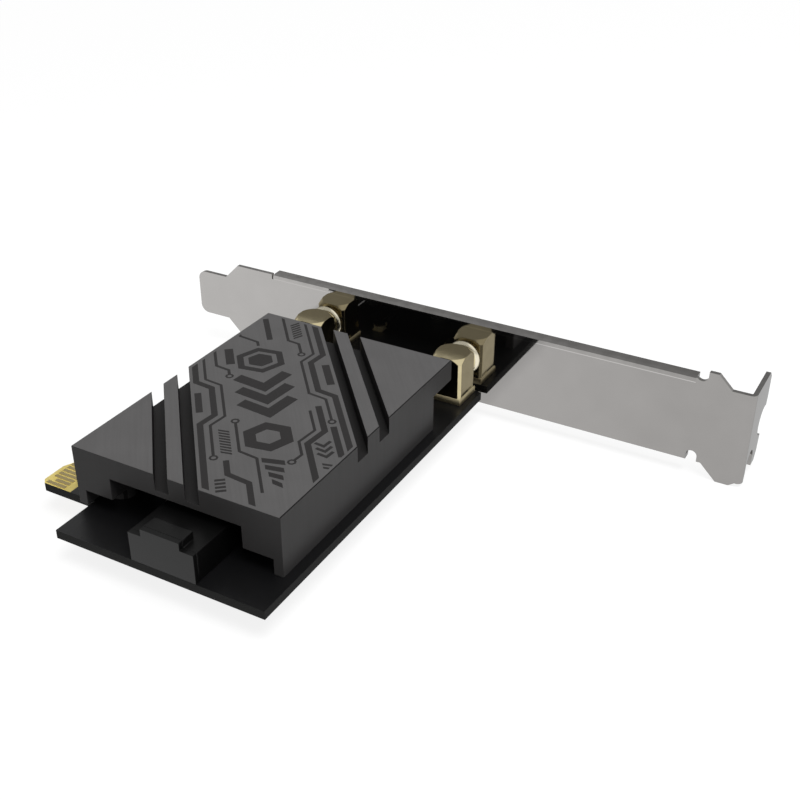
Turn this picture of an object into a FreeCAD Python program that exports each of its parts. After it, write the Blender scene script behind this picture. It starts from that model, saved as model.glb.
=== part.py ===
import FreeCAD, Part
import math
import os
import re
import Sketcher

# A wireless network card for a computer's expansion slot: a small board with an edge connector, a radio
# module under a grooved heat sink, two antenna jacks and a folded steel bracket.
#
# The frame: +X runs along the bracket, from its tongue to its screw tab. +Y points out of the computer's
# case and +Z up from the component side. The origin is the middle of the card's outline, at the level
# of the bracket's lowest edge.

V = FreeCAD.Vector
doc = FreeCAD.newDocument("wifi_card")

# %% Sizes, in millimetres and degrees

SIZES = {
    # Bracket: one folded sheet
    "bracket_length": 120.02,     # tip of the tongue to the face of the screw tab
    "sheet_thickness": 0.86,
    "bend_inside": 0.2,           # inside radius of each fold
    "plate_above": 15.38,         # upper edge of the plate above the board's underside
    "plate_below": 1.54,          # lower edge of the plate below the board's underside
    "flange_below": 2.0,          # lower flange's outer face below the board's underside
    "flange_depth": 2.5,          # side flanges, from the plate's inner face
    "flange_start": 19.6,         # from the tip of the tongue
    "tongue_length": 7.3,
    "tongue_width": 9.7,
    "tongue_level": 2.45,         # lower edge of the tongue above the board's underside
    "tongue_round": 1.8,
    "relief_inset": 9.69,         # round notches where the flanges end, from the tab's outer face
    "relief_width": 2.15,
    "relief_above": 15.0,         # floor of the upper notch
    "relief_below": 0.53,         # roof of the lower notch
    "slit_width": 0.3,            # fold relief at the flanges' other end
    "ear_top": 17.0,              # small ear beside the upper notch
    "ear_width": 1.75,
    "ear_foot": 0.8,              # small ear beside the lower notch
    "corner_drop": 4.65,          # lowest corner of the plate below the board's underside
    "corner_slant": 3.1,
    "corner_run": 1.05,           # cut at the plate's lowest corner
    "corner_rise": 0.75,
    "tab_depth": 11.43,           # screw tab, from the plate's inner face
    "tab_top": 14.4,              # above the board's underside
    "tab_cut": 1.2,
    "lobe_low": 3.1,              # lower end of the tab's outer lobe, below the board's underside
    "lobe_depth": 9.9,
    "lobe_cut": 1.6,
    "lobe_lean": 1.1,             # how far the lobe's corner leans in over that height
    "scoop_radius": 2.9,          # round recess in the tab's free edge
    "scoop_height": 4.6,
    "scoop_shoulder": 4.35,       # above the scoop's middle, where the tab is at its deepest
    "slot_width": 4.42,           # screw slot, open at the tab's lower side
    "slot_depth": 3.9,            # centre of the slot from the plate's inner face
    "slot_top": 1.2,              # closed end of the slot above the board's underside

    # Circuit board
    "board_thickness": 1.6,
    "board_width": 40.85,
    "board_left": 27.83,          # left edge, from the tip of the bracket's tongue
    "board_reach": 75.16,         # front edge, from the plate's inner face
    "board_gap": 1.35,            # rear edge, from the plate's inner face

    # Edge connector: two rows of contacts at a standard pitch, with a key slot between them
    "edge_reach": 12.53,          # tip, from the board's left edge
    "edge_inset": 9.16,           # from the board's front edge
    "edge_cut": 1.3,
    "bevel_length": 1.3,
    "bevel_depth": 0.4,
    "contact_pitch": 1.0,
    "contact_width": 0.7,
    "contact_length": 4.2,
    "contact_short": 1.0,         # how much shorter the sensing contacts are
    "contact_start": 1.35,        # from the tip
    "contact_plating": 0.06,
    "contact_margin": 0.65,       # first contact's centre, from the tongue's side
    "outer_count": 7,
    "inner_count": 11,
    "key_span": 3.0,              # between the two contacts beside the key slot
    "key_width": 1.9,
    "key_depth": 8.0,

    # Heat sink: one extruded and milled block
    "sink_width": 40.95,
    "sink_length": 56.28,
    "sink_height": 11.17,
    "sink_overhang": 1.96,        # beyond the board's left edge
    "sink_rear": 11.0,            # rear face, from the plate's inner face
    "skirt_width": 1.75,
    "shelf_width": 5.7,
    "shelf_height": 2.9,          # above the board
    "tunnel_height": 7.05,        # above the board
    "rear_relief": 7.0,           # length without skirts at the rear
    "groove_width": 2.1,
    "groove_depth": 3.0,
    "groove_pitch": 4.6,
    "groove_angle": 50,           # from the X axis
    "groove_left": 17.4,          # middle of the left pair, from the sink's middle
    "groove_right": 15.3,         # middle of the right pair, from the sink's middle
    "boss_radius": 2.2,
    "boss_front": 5.8,            # from the sink's front face
    "boss_rear": 13.0,            # from the sink's rear face

    # Small screws
    "screw_radius": 1.0,
    "screw_gap": 0.05,
    "screw_head": 1.9,            # radius
    "screw_head_height": 1.2,
    "screw_bite": 2.6,            # length held by the boss
    "screw_tip_gap": 0.4,         # empty hole past the screw's end
    "cross_width": 0.5,
    "cross_depth": 0.6,
    "board_hole": 1.15,           # radius

    # Radio module and its socket
    "module_width": 22.0,
    "module_length": 30.0,
    "module_thickness": 0.8,
    "module_lift": 2.45,          # above the board
    "module_room": 4.36,          # from the cable header's back to the module's socket
    "finger_width": 19.85,
    "finger_length": 4.0,
    "notch_radius": 1.75,         # screw notch in the module's rear end
    "notch_width": 1.2,           # key notch in the module's front end
    "notch_depth": 3.5,
    "notch_place": 5.0,           # key notch, from the module's middle
    "socket_width": 22.3,
    "socket_depth": 8.0,
    "socket_height": 4.2,
    "socket_hold": 3.7,           # how far the module goes in
    "socket_gap": 0.08,
    "lead_pitch": 0.5,
    "lead_width": 0.2,
    "lead_length": 0.9,
    "lead_thickness": 0.15,
    "lead_count": 33,
    "standoff_radius": 2.5,
    "standoff_tail": 1.4,         # radius of the tail in the board
    "seat_head": 2.4,             # radius of the module screw's head
    "seat_head_height": 0.7,
    "seat_screw_length": 2.0,
    "shield_width": 18.0,
    "shield_length": 18.5,
    "shield_height": 1.5,
    "shield_wall": 0.2,
    "shield_front": 6.0,          # from the module's front end
    "chip_size": 10.0,
    "chip_height": 1.1,
    "thermal_inset": 1.0,         # thermal pad's edge from the shield's edge

    # Antenna jacks
    "jack_spacing": 31.5,
    "jack_axis": 6.0,             # above the board
    "block_size": 6.7,
    "block_corner": 0.7,
    "block_top": 9.4,             # above the board
    "block_disc": 3.3,            # radius of the turned top
    "turned_depth": 2.1,          # reach of the 45 degree turning, past the block's corners
    "base_height": 1.06,
    "leg_width": 1.0,
    "leg_spacing": 5.08,
    "leg_reach": 0.9,             # below the board
    "leg_gap": 0.1,
    "neck_radius": 3.0,
    "collar_radius": 3.55,
    "collar_thickness": 0.95,
    "barrel_radius": 3.175,
    "barrel_reach": 10.6,         # tip, from the plate's inner face
    "barrel_gap": 0.125,          # around the barrel, in the plate
    "thread_half_depth": 0.225,   # from the thread's crest to its pitch line, where the nut holds the barrel
    "nut_clear": 0.24,            # from the nut to the barrel's free stretch
    "recess_radius": 2.3,
    "recess_depth": 4.0,
    "core_radius": 2.05,          # insulator in the barrel
    "drop_radius": 1.6,           # insulator down to the board
    "wire_radius": 0.46,          # centre contact
    "wire_inset": 1.4,            # contact's end, inside the barrel's tip
    "washer_radius": 5.0,
    "washer_thickness": 0.6,
    "nut_width": 8.0,             # across flats
    "nut_height": 2.4,
    "nut_turning": 0.6,           # how much of the corners is turned away at both faces
    "nut_slant": 0.35,            # height of that turning

    # Header for the internal cable, closed by its cap
    "header_inset": 15.7,         # left side, from the board's left edge
    "header_width": 12.6,
    "header_depth": 11.5,
    "header_height": 5.45,
    "header_wall": 1.1,
    "header_cavity": 7.0,         # depth behind the cap
    "latch_width": 7.5,
    "latch_height": 1.4,
    "latch_depth": 3.55,
    "cap_thickness": 0.9,
    "cap_plug": 1.6,              # how far the cap goes into the mouth
    "cap_gap": 0.1,
    "pin_count": 5,
    "pin_pitch": 2.0,
    "pin_width": 0.5,
    "pin_start": 3.2,             # pin tips, from the header's front face
    "pin_behind": 0.8,            # from the header's back to the pins' downward leg
    "pin_reach": 1.3,             # below the board
    "pin_hole": 0.5,              # radius

    # Coaxial jumpers between the module and the board
    "coax_radius": 0.565,
    "coax_run": 3.2,              # straight run at each end
    "outlet_spacing": 17.0,       # between the two jumpers
    "outlet_inset": 3.2,          # from the module's rear end
    "landing_reach": 12.6,        # board's receptacle, from the plate's inner face
    "outlet_size": 2.2,
    "outlet_base": 0.3,
    "outlet_ring": 0.75,          # radius
    "outlet_rise": 0.7,
    "plug_radius": 1.2,
    "plug_height": 1.15,
    "plug_tail": 2.0,             # from the plug's axis to the end of its tail
    "plug_tail_width": 1.5,
    "plug_gap": 0.03,

    # Small parts on the board, under the module
    "coil_size": 4.0,
    "coil_height": 2.0,
    "regulator_size": 3.0,
    "regulator_height": 0.9,
    "power_row": 12.0,            # middle of the two, from the module's front end
    "power_spacing": 9.0,
    "capacitor_length": 1.6,
    "capacitor_width": 0.8,
    "capacitor_pitch": 2.6,
    "capacitor_row": 19.0,        # from the module's front end
    "capacitor_count": 6,
}

sheet = doc.addObject("Spreadsheet::Sheet", "Size")
for row, (name, number) in enumerate(SIZES.items(), 1):
    cell = "A%d" % row
    sheet.set(cell, str(number))
    sheet.setAlias(cell, name)
doc.recompute()


def value(name):
    """The number that one name in the sheet holds."""
    return float(getattr(sheet, name))


# %% Formulas and places

NAME = re.compile(r"[a-z]+(?:_[a-z]+)+")


def bind(item, field, formula):
    """Ties one property of an object to a formula in the sheet's names."""
    item.setExpression(field, NAME.sub(lambda found: "Size." + found.group(0), str(formula)))


def along(x):
    """A place along X, measured from the tip of the bracket's tongue."""
    return "(%s) - bracket_length / 2" % x


def out(y):
    """A place along Y, measured from the inner face of the bracket's plate."""
    return "(%s) + (board_reach - tab_depth) / 2" % y


def up(z):
    """A place along Z, measured from the board's underside."""
    return "(%s) + corner_drop" % z


def place(item, x, y, z):
    bind(item, "Placement.Base.x", along(x))
    bind(item, "Placement.Base.y", out(y))
    bind(item, "Placement.Base.z", up(z))


BOARD_MIDDLE = "board_left + board_width / 2"
BOARD_LENGTH = "board_reach - board_gap"
SINK_LEFT = "board_left - sink_overhang"
SINK_MIDDLE = "board_left - sink_overhang + sink_width / 2"
SINK_FRONT = "-sink_rear - sink_length"
HEADER_LEFT = "board_left + header_inset"
HEADER_BACK = "-board_reach + header_depth"
MODULE_FRONT = HEADER_BACK + " + module_room + socket_depth - socket_hold"
MODULE_REAR = MODULE_FRONT + " + module_length"
MODULE_LEVEL = "board_thickness + module_lift"
SHIELD_TOP = "board_thickness + module_lift + module_thickness + shield_height"
JACK_SIDES = {"left": BOARD_MIDDLE + " - jack_spacing / 2", "right": BOARD_MIDDLE + " + jack_spacing / 2"}
JACK_Y = "-board_gap - block_size / 2"

nodes = []


def node(item, label):
    """Marks an object as one of the card's own pieces."""
    item.Label = label
    nodes.append(item)
    return item


# %% Sketches and body features

LEAST = 0.001  # the least volume that a cut is expected to remove, in mm3


def body_at(name, x, y, z):
    body = doc.addObject("PartDesign::Body", name)
    place(body, x, y, z)
    return body


def sketch_on(body, plane, level="0", turn=None):
    """An empty sketch on one of the body's own planes, raised along that plane's normal."""
    sketch = body.newObject("Sketcher::SketchObject", body.Name + "_outline")
    base = [item for item in body.Origin.OriginFeatures if item.Role == plane][0]
    sketch.AttachmentSupport = [(base, "")]
    sketch.MapMode = "FlatFace"
    bind(sketch, "AttachmentOffset.Base.z", level)
    if turn:
        bind(sketch, "AttachmentOffset.Rotation.Angle", turn)
    return sketch


def polygon(sketch, corners):
    """A closed outline whose corners each have a formula for both coordinates."""
    first = sketch.GeometryCount
    count = len(corners)
    spots = [V(math.cos(2 * math.pi * i / count), math.sin(2 * math.pi * i / count), 0) for i in range(count)]
    for i in range(count):
        sketch.addGeometry(Part.LineSegment(spots[i], spots[(i + 1) % count]), False)
    for i in range(count):
        sketch.addConstraint(Sketcher.Constraint("Coincident", first + i, 2, first + (i + 1) % count, 1))
    for i in range(count):
        tied = sketch.addConstraint(Sketcher.Constraint("DistanceX", -1, 1, first + i, 1, spots[i].x))
        bind(sketch, "Constraints[%d]" % tied, corners[i][0])
        tied = sketch.addConstraint(Sketcher.Constraint("DistanceY", -1, 1, first + i, 1, spots[i].y))
        bind(sketch, "Constraints[%d]" % tied, corners[i][1])


def rectangle(sketch, low_x, low_y, high_x, high_y):
    polygon(sketch, [(low_x, low_y), (high_x, low_y), (high_x, high_y), (low_x, high_y)])


def circle(sketch, x, y, radius):
    item = sketch.addGeometry(Part.Circle(V(1, 1, 0), V(0, 0, 1), 1), False)
    tied = sketch.addConstraint(Sketcher.Constraint("DistanceX", -1, 1, item, 3, 1))
    bind(sketch, "Constraints[%d]" % tied, x)
    tied = sketch.addConstraint(Sketcher.Constraint("DistanceY", -1, 1, item, 3, 1))
    bind(sketch, "Constraints[%d]" % tied, y)
    tied = sketch.addConstraint(Sketcher.Constraint("Radius", item, 1))
    bind(sketch, "Constraints[%d]" % tied, radius)


def pad(body, sketch, length, backward=False):
    """Adds material along the sketch's normal, or against it."""
    feature = body.newObject("PartDesign::Pad", body.Name + "_pad")
    feature.Profile = sketch
    feature.Reversed = backward
    bind(feature, "Length", length)
    body.Tip = feature
    doc.recompute()
    return feature


def pocket(body, sketch, length=None, backward=False):
    """Removes material against the sketch's normal, or along it; with no length, right through."""
    before = body.Shape.Volume
    feature = body.newObject("PartDesign::Pocket", body.Name + "_pocket")
    feature.Profile = sketch
    feature.Reversed = backward
    if length:
        bind(feature, "Length", length)
    else:
        feature.SideType = "Symmetric"
        feature.Type = "ThroughAll"
    body.Tip = feature
    doc.recompute()
    if body.Shape.Volume > before - LEAST:
        raise RuntimeError("a pocket of %s removes nothing" % body.Name)
    return feature


def fillet(body, radius, wanted, upright=False):
    """Rounds each level edge of the body, or each upright one, whose two ends pass the test."""
    base = body.Tip
    found = []
    for number, edge in enumerate(base.Shape.Edges, 1):
        ends = [vertex.Point for vertex in edge.Vertexes]
        if len(ends) == 2 and near(ends[0].z, ends[1].z) != upright and all(wanted(point) for point in ends):
            found.append("Edge%d" % number)
    if not found:
        raise RuntimeError("no edge of %s to round" % body.Name)
    feature = body.newObject("PartDesign::Fillet", body.Name + "_round")
    feature.Base = (base, found)
    bind(feature, "Radius", radius)
    body.Tip = feature
    doc.recompute()
    if feature.Shape.isNull() or not feature.Shape.isValid():
        raise RuntimeError("a round of %s fails" % body.Name)
    return feature


def near(a, b):
    return abs(a - b) < 1e-4


# %% Primitives and booleans


def block(name, x, y, z, long, wide, tall):
    """A box from its low corner."""
    item = doc.addObject("Part::Box", name)
    bind(item, "Length", long)
    bind(item, "Width", wide)
    bind(item, "Height", tall)
    place(item, x, y, z)
    return item


def rod(name, x, y, z, radius, length, outward=False):
    """A cylinder that stands up, or one that lies along +Y."""
    item = doc.addObject("Part::Cylinder", name)
    if outward:
        item.Placement = FreeCAD.Placement(V(), FreeCAD.Rotation(V(1, 0, 0), -90))
    bind(item, "Radius", radius)
    bind(item, "Height", length)
    place(item, x, y, z)
    return item


def joined(name, pieces):
    item = doc.addObject("Part::MultiFuse", name)
    item.Shapes = pieces
    item.Refine = True
    return item


def less(name, base, tool):
    item = doc.addObject("Part::Cut", name)
    item.Base = base
    item.Tool = tool
    return item


def common(name, one, other):
    item = doc.addObject("Part::Common", name)
    item.Base = one
    item.Tool = other
    return item


def together(name, pieces):
    """Separate solids kept as one piece of the card, such as four equal screws."""
    item = doc.addObject("Part::Compound", name)
    item.Links = pieces
    return item


# %% Bracket

BEND = "(bend_inside + sheet_thickness)"
RELIEF = "bracket_length - relief_inset"
FLANGE_END = RELIEF + " - relief_width / 2"
EAR_START = RELIEF + " + relief_width / 2"
FOLD_START = "bracket_length - sheet_thickness - 2 * bend_inside"
TONGUE_TOP = "(tongue_level + tongue_width)"

# The flanged stretch comes first, while its four fold edges stand alone.
bracket = body_at("bracket_body", "0", "0", "0")
channel = sketch_on(bracket, "YZ_Plane", "flange_start")
polygon(channel, [
    ("flange_depth", "-flange_below"),
    ("flange_depth", "-flange_below + sheet_thickness"),
    ("sheet_thickness", "-flange_below + sheet_thickness"),
    ("sheet_thickness", "plate_above - sheet_thickness"),
    ("flange_depth", "plate_above - sheet_thickness"),
    ("flange_depth", "plate_above"),
    ("0", "plate_above"),
    ("0", "-flange_below"),
])
pad(bracket, channel, FLANGE_END + " - flange_start")
gauge = value("sheet_thickness")
fillet(bracket, BEND, lambda p: near(p.y, 0))
fillet(bracket, "bend_inside", lambda p: near(p.y, gauge))

plate = sketch_on(bracket, "XZ_Plane")
polygon(plate, [
    ("0", "tongue_level"),
    ("tongue_length", "tongue_level"),
    ("tongue_length + tongue_level + plate_below", "-plate_below"),
    ("flange_start - slit_width", "-plate_below"),
    ("flange_start - slit_width", "-flange_below + " + BEND),
    (FLANGE_END, "-flange_below + " + BEND),
    (FLANGE_END, "relief_below - relief_width / 2"),
    (EAR_START, "relief_below - relief_width / 2"),
    (EAR_START, "-plate_below"),
    (EAR_START + " + ear_foot", "-plate_below"),
    (EAR_START + " + ear_foot + corner_slant", "-corner_drop"),
    (FOLD_START + " - corner_run", "-corner_drop"),
    (FOLD_START, "-corner_drop + corner_rise"),
    (FOLD_START, "tab_top"),
    (EAR_START + " + ear_width + ear_top - tab_top", "tab_top"),
    (EAR_START + " + ear_width", "ear_top"),
    (EAR_START, "ear_top"),
    (EAR_START, "relief_above + relief_width / 2"),
    (RELIEF, "relief_above + relief_width / 2"),
    (RELIEF, "plate_above"),
    (FLANGE_END, "plate_above"),
    (FLANGE_END, "plate_above - " + BEND),
    ("flange_start - slit_width", "plate_above - " + BEND),
    ("flange_start - slit_width", "plate_above"),
    ("tongue_length + plate_above - " + TONGUE_TOP, "plate_above"),
    ("tongue_length", TONGUE_TOP),
    ("0", TONGUE_TOP),
])
pad(bracket, plate, "sheet_thickness", backward=True)
foot = value("tongue_level")
head = value("tongue_level") + value("tongue_width")
fillet(bracket, "tongue_round", lambda p: near(p.x, 0) and (near(p.z, foot) or near(p.z, head)))

fold = sketch_on(bracket, "XY_Plane", "-corner_drop + corner_rise")
polygon(fold, [
    (FOLD_START, "0"),
    ("bracket_length", "0"),
    ("bracket_length", "sheet_thickness + 2 * bend_inside"),
    ("bracket_length - sheet_thickness", "sheet_thickness + 2 * bend_inside"),
    ("bracket_length - sheet_thickness", "sheet_thickness"),
    (FOLD_START, "sheet_thickness"),
])
pad(bracket, fold, "tab_top + corner_drop - corner_rise")
far = value("bracket_length")
fillet(bracket, BEND, lambda p: near(p.x, far) and near(p.y, 0), upright=True)
fillet(bracket, "bend_inside", lambda p: near(p.x, far - gauge) and near(p.y, gauge), upright=True)

SLOT_NEAR = "slot_depth - slot_width / 2"
SLOT_FAR = "slot_depth + slot_width / 2"
tab = sketch_on(bracket, "YZ_Plane", "bracket_length - sheet_thickness")
polygon(tab, [
    ("sheet_thickness + 2 * bend_inside", "-corner_drop + corner_rise"),
    (SLOT_NEAR, "-lobe_low + lobe_cut / 2"),
    (SLOT_FAR, "-lobe_low"),
    ("lobe_depth - lobe_cut", "-lobe_low"),
    ("lobe_depth - lobe_cut + lobe_lean", "-lobe_low + lobe_cut"),
    ("lobe_depth", "scoop_height - scoop_radius"),
    ("tab_depth", "scoop_height + scoop_shoulder"),
    ("tab_depth", "tab_top - tab_cut"),
    ("tab_depth - tab_cut", "tab_top"),
    ("sheet_thickness + 2 * bend_inside", "tab_top"),
])
pad(bracket, tab, "sheet_thickness")

slot = sketch_on(bracket, "YZ_Plane", "bracket_length")
rectangle(slot, SLOT_NEAR, "-corner_drop", SLOT_FAR, "slot_top - slot_width / 2")
pocket(bracket, slot, "sheet_thickness")
slot_end = sketch_on(bracket, "YZ_Plane", "bracket_length")
circle(slot_end, "slot_depth", "slot_top - slot_width / 2", "slot_width / 2")
pocket(bracket, slot_end, "sheet_thickness")
scoop = sketch_on(bracket, "YZ_Plane", "bracket_length")
circle(scoop, "lobe_depth", "scoop_height", "scoop_radius")
pocket(bracket, scoop, "sheet_thickness")

relief_ends = sketch_on(bracket, "XZ_Plane")
circle(relief_ends, RELIEF, "relief_above + relief_width / 2", "relief_width / 2")
circle(relief_ends, RELIEF, "relief_below - relief_width / 2", "relief_width / 2")
pocket(bracket, relief_ends, "sheet_thickness")

jack_holes = sketch_on(bracket, "XZ_Plane")
for middle in JACK_SIDES.values():
    circle(jack_holes, middle, "board_thickness + jack_axis", "barrel_radius + barrel_gap")
pocket(bracket, jack_holes, "sheet_thickness")
node(bracket, "bracket")

# %% Circuit board

OUTER_PART = "contact_margin + (outer_count - 1) * contact_pitch + (key_span - key_width) / 2"
INNER_PART = "contact_margin + (inner_count - 1) * contact_pitch + (key_span - key_width) / 2"
KEY_START = "edge_inset + " + OUTER_PART
EDGE_END = KEY_START + " + key_width + " + INNER_PART


def on_board(x, y):
    """A place on the board's own sketch, from a place on the card."""
    return "(%s) - board_left + edge_reach" % x, "(%s) + board_reach" % y


board = body_at("board_body", "board_left - edge_reach", "-board_reach", "0")
outline = sketch_on(board, "XY_Plane")
polygon(outline, [
    ("edge_reach", "0"),
    ("edge_reach + board_width", "0"),
    ("edge_reach + board_width", BOARD_LENGTH),
    ("edge_reach", BOARD_LENGTH),
    ("edge_reach", EDGE_END),
    ("edge_cut", EDGE_END),
    ("0", EDGE_END + " - edge_cut"),
    ("0", KEY_START + " + key_width + edge_cut"),
    ("edge_cut", KEY_START + " + key_width"),
    ("key_depth", KEY_START + " + key_width"),
    ("key_depth", KEY_START),
    ("edge_cut", KEY_START),
    ("0", KEY_START + " - edge_cut"),
    ("0", "edge_inset + edge_cut"),
    ("edge_cut", "edge_inset"),
    ("edge_reach", "edge_inset"),
])
pad(board, outline, "board_thickness")

bevels = sketch_on(board, "XZ_Plane")
polygon(bevels, [("0", "0"), ("bevel_length", "0"), ("0", "bevel_depth")])
polygon(bevels, [("0", "board_thickness"), ("bevel_length", "board_thickness"),
                 ("0", "board_thickness - bevel_depth")])
pocket(board, bevels)

SCREW_XS = [SINK_LEFT + " + skirt_width + shelf_width / 2",
            SINK_LEFT + " + sink_width - skirt_width - shelf_width / 2"]
SCREW_YS = [SINK_FRONT + " + boss_front", "-sink_rear - boss_rear"]
screw_spots = [(x, y) for x in SCREW_XS for y in SCREW_YS]

drilled = sketch_on(board, "XY_Plane")
for x, y in screw_spots:
    circle(drilled, *on_board(x, y), "board_hole")
for middle in JACK_SIDES.values():
    circle(drilled, *on_board(middle, JACK_Y), "wire_radius + leg_gap")
    for side in ("-", "+"):
        for end in ("-", "+"):
            spot = on_board("%s %s leg_spacing / 2" % (middle, side), "%s %s leg_spacing / 2" % (JACK_Y, end))
            circle(drilled, *spot, "leg_width * sqrt(2) / 2 + leg_gap")
for i in range(int(value("pin_count"))):
    pin_x = HEADER_LEFT + " + header_width / 2 + (%d - (pin_count - 1) / 2) * pin_pitch" % i
    circle(drilled, *on_board(pin_x, HEADER_BACK + " + pin_behind + pin_width / 2"), "pin_hole")
circle(drilled, *on_board(SINK_MIDDLE, MODULE_REAR), "standoff_tail + leg_gap")
pocket(board, drilled)
node(board, "circuit_board")

# Gold contacts, in the same places on both faces. On each face one contact is shorter, for sensing:
# the outer end's second on the component side, the inner end's first on the other side.
CONTACT_TIP = "board_left - edge_reach + contact_start"
FIRST_CONTACT = "-board_reach + edge_inset + contact_margin"


def contact_row(label, level, short):
    outer = int(value("outer_count"))
    total = outer + int(value("inner_count"))
    contacts = []
    for i in range(total):
        skip = " + key_span - contact_pitch" if i >= outer else ""
        y = "%s - contact_width / 2 + %d * contact_pitch%s" % (FIRST_CONTACT, i, skip)
        cut = " + contact_short" if i == short else ""
        trim = " - contact_short" if i == short else ""
        contacts.append(block("%s_%d" % (label, i), CONTACT_TIP + cut, y, level,
                              "contact_length" + trim, "contact_width", "contact_plating"))
    node(together(label + "_row", contacts), label)
    return total


contact_row("edge_contacts_top", "board_thickness", 1)
contact_row("edge_contacts_bottom", "-contact_plating",
            int(value("outer_count")) + int(value("inner_count")) - 1)

# %% Heat sink

sink = body_at("sink_body", SINK_LEFT, SINK_FRONT, "board_thickness")
section = sketch_on(sink, "XZ_Plane")
polygon(section, [
    ("0", "0"),
    ("skirt_width", "0"),
    ("skirt_width", "shelf_height"),
    ("skirt_width + shelf_width", "shelf_height"),
    ("skirt_width + shelf_width", "tunnel_height"),
    ("sink_width - skirt_width - shelf_width", "tunnel_height"),
    ("sink_width - skirt_width - shelf_width", "shelf_height"),
    ("sink_width - skirt_width", "shelf_height"),
    ("sink_width - skirt_width", "0"),
    ("sink_width", "0"),
    ("sink_width", "sink_height"),
    ("0", "sink_height"),
])
pad(sink, section, "sink_length", backward=True)

rear_cut = sketch_on(sink, "XY_Plane")
rectangle(rear_cut, "0", "sink_length - rear_relief", "sink_width", "sink_length")
pocket(sink, rear_cut, "tunnel_height", backward=True)

grooves = sketch_on(sink, "XY_Plane", "sink_height", turn="-groove_angle")
# The sketch is turned, so its X runs along the grooves and its Y across them.
MIDDLE_ALONG = "(sink_width * cos(groove_angle) - sink_length * sin(groove_angle)) / 2"
MIDDLE_ACROSS = "(sink_width * sin(groove_angle) + sink_length * cos(groove_angle)) / 2"
for pair in ("-groove_left", "groove_right"):
    for side in ("-", "+"):
        line = "%s + %s %s groove_pitch / 2" % (MIDDLE_ACROSS, pair, side)
        rectangle(grooves, MIDDLE_ALONG + " - sink_width - sink_length", line + " - groove_width / 2",
                  MIDDLE_ALONG + " + sink_width + sink_length", line + " + groove_width / 2")
pocket(sink, grooves, "groove_depth")


def on_sink(x, y):
    """A place on the heat sink's own sketch, from a place on the card."""
    return "(%s) - (%s)" % (x, SINK_LEFT), "(%s) - (%s)" % (y, SINK_FRONT)


bosses = sketch_on(sink, "XY_Plane")
for x, y in screw_spots:
    circle(bosses, *on_sink(x, y), "boss_radius")
pad(sink, bosses, "shelf_height")
boss_holes = sketch_on(sink, "XY_Plane")
for x, y in screw_spots:
    circle(boss_holes, *on_sink(x, y), "screw_radius + screw_gap")
pocket(sink, boss_holes, "screw_bite + screw_tip_gap", backward=True)
node(sink, "heat_sink")


# %% Screws


def cross_slot(name, x, y, z, reach, depth):
    """The cross recess of a screw's head, as a solid to cut away."""
    one = block(name + "_a", "%s - %s" % (x, reach), "%s - cross_width / 2" % y, z,
                "2 * " + reach, "cross_width", depth)
    two = block(name + "_b", "%s - cross_width / 2" % x, "%s - %s" % (y, reach), z,
                "cross_width", "2 * " + reach, depth)
    return joined(name, [one, two])


sink_screws = []
for i, (x, y) in enumerate(screw_spots):
    head = rod("sink_head_%d" % i, x, y, "-screw_head_height", "screw_head", "screw_head_height")
    shank = rod("sink_shank_%d" % i, x, y, "0", "screw_radius", "board_thickness + screw_bite")
    recess = cross_slot("sink_cross_%d" % i, x, y, "-screw_head_height", "screw_radius", "cross_depth")
    sink_screws.append(less("sink_screw_%d" % i, joined("sink_screw_body_%d" % i, [head, shank]), recess))
node(together("sink_screw_set", sink_screws), "heat_sink_screws")

# %% Radio module

module = body_at("module_body", SINK_MIDDLE + " - module_width / 2", MODULE_FRONT, MODULE_LEVEL)
card = sketch_on(module, "XY_Plane")
FINGER_SIDE = "(module_width - finger_width) / 2"
NOTCH_X = "module_width / 2 + notch_place"
polygon(card, [
    (FINGER_SIDE, "0"),
    (NOTCH_X + " - notch_width / 2", "0"),
    (NOTCH_X + " - notch_width / 2", "notch_depth"),
    (NOTCH_X + " + notch_width / 2", "notch_depth"),
    (NOTCH_X + " + notch_width / 2", "0"),
    ("module_width - " + FINGER_SIDE, "0"),
    ("module_width - " + FINGER_SIDE, "finger_length"),
    ("module_width", "finger_length"),
    ("module_width", "module_length"),
    ("0", "module_length"),
    ("0", "finger_length"),
    (FINGER_SIDE, "finger_length"),
])
pad(module, card, "module_thickness")
screw_notch = sketch_on(module, "XY_Plane")
circle(screw_notch, "module_width / 2", "module_length", "notch_radius")
pocket(module, screw_notch)
node(module, "radio_module_board")

CAN_LEFT = SINK_MIDDLE + " - shield_width / 2"
CAN_FRONT = MODULE_FRONT + " + shield_front"
CAN_LEVEL = MODULE_LEVEL + " + module_thickness"
can = block("can_outside", CAN_LEFT, CAN_FRONT, CAN_LEVEL, "shield_width", "shield_length", "shield_height")
can_inside = block("can_inside", CAN_LEFT + " + shield_wall", CAN_FRONT + " + shield_wall", CAN_LEVEL,
                   "shield_width - 2 * shield_wall", "shield_length - 2 * shield_wall",
                   "shield_height - shield_wall")
node(less("can_shell", can, can_inside), "radio_module_shield")
node(block("chip_block", SINK_MIDDLE + " - chip_size / 2", CAN_FRONT + " + (shield_length - chip_size) / 2",
           CAN_LEVEL, "chip_size", "chip_size", "chip_height"), "radio_chip")
node(block("pad_block", CAN_LEFT + " + thermal_inset", CAN_FRONT + " + thermal_inset", SHIELD_TOP,
           "shield_width - 2 * thermal_inset", "shield_length - 2 * thermal_inset",
           "tunnel_height + board_thickness - (%s)" % SHIELD_TOP), "thermal_pad")

# %% Module socket, standoff and screw

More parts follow.
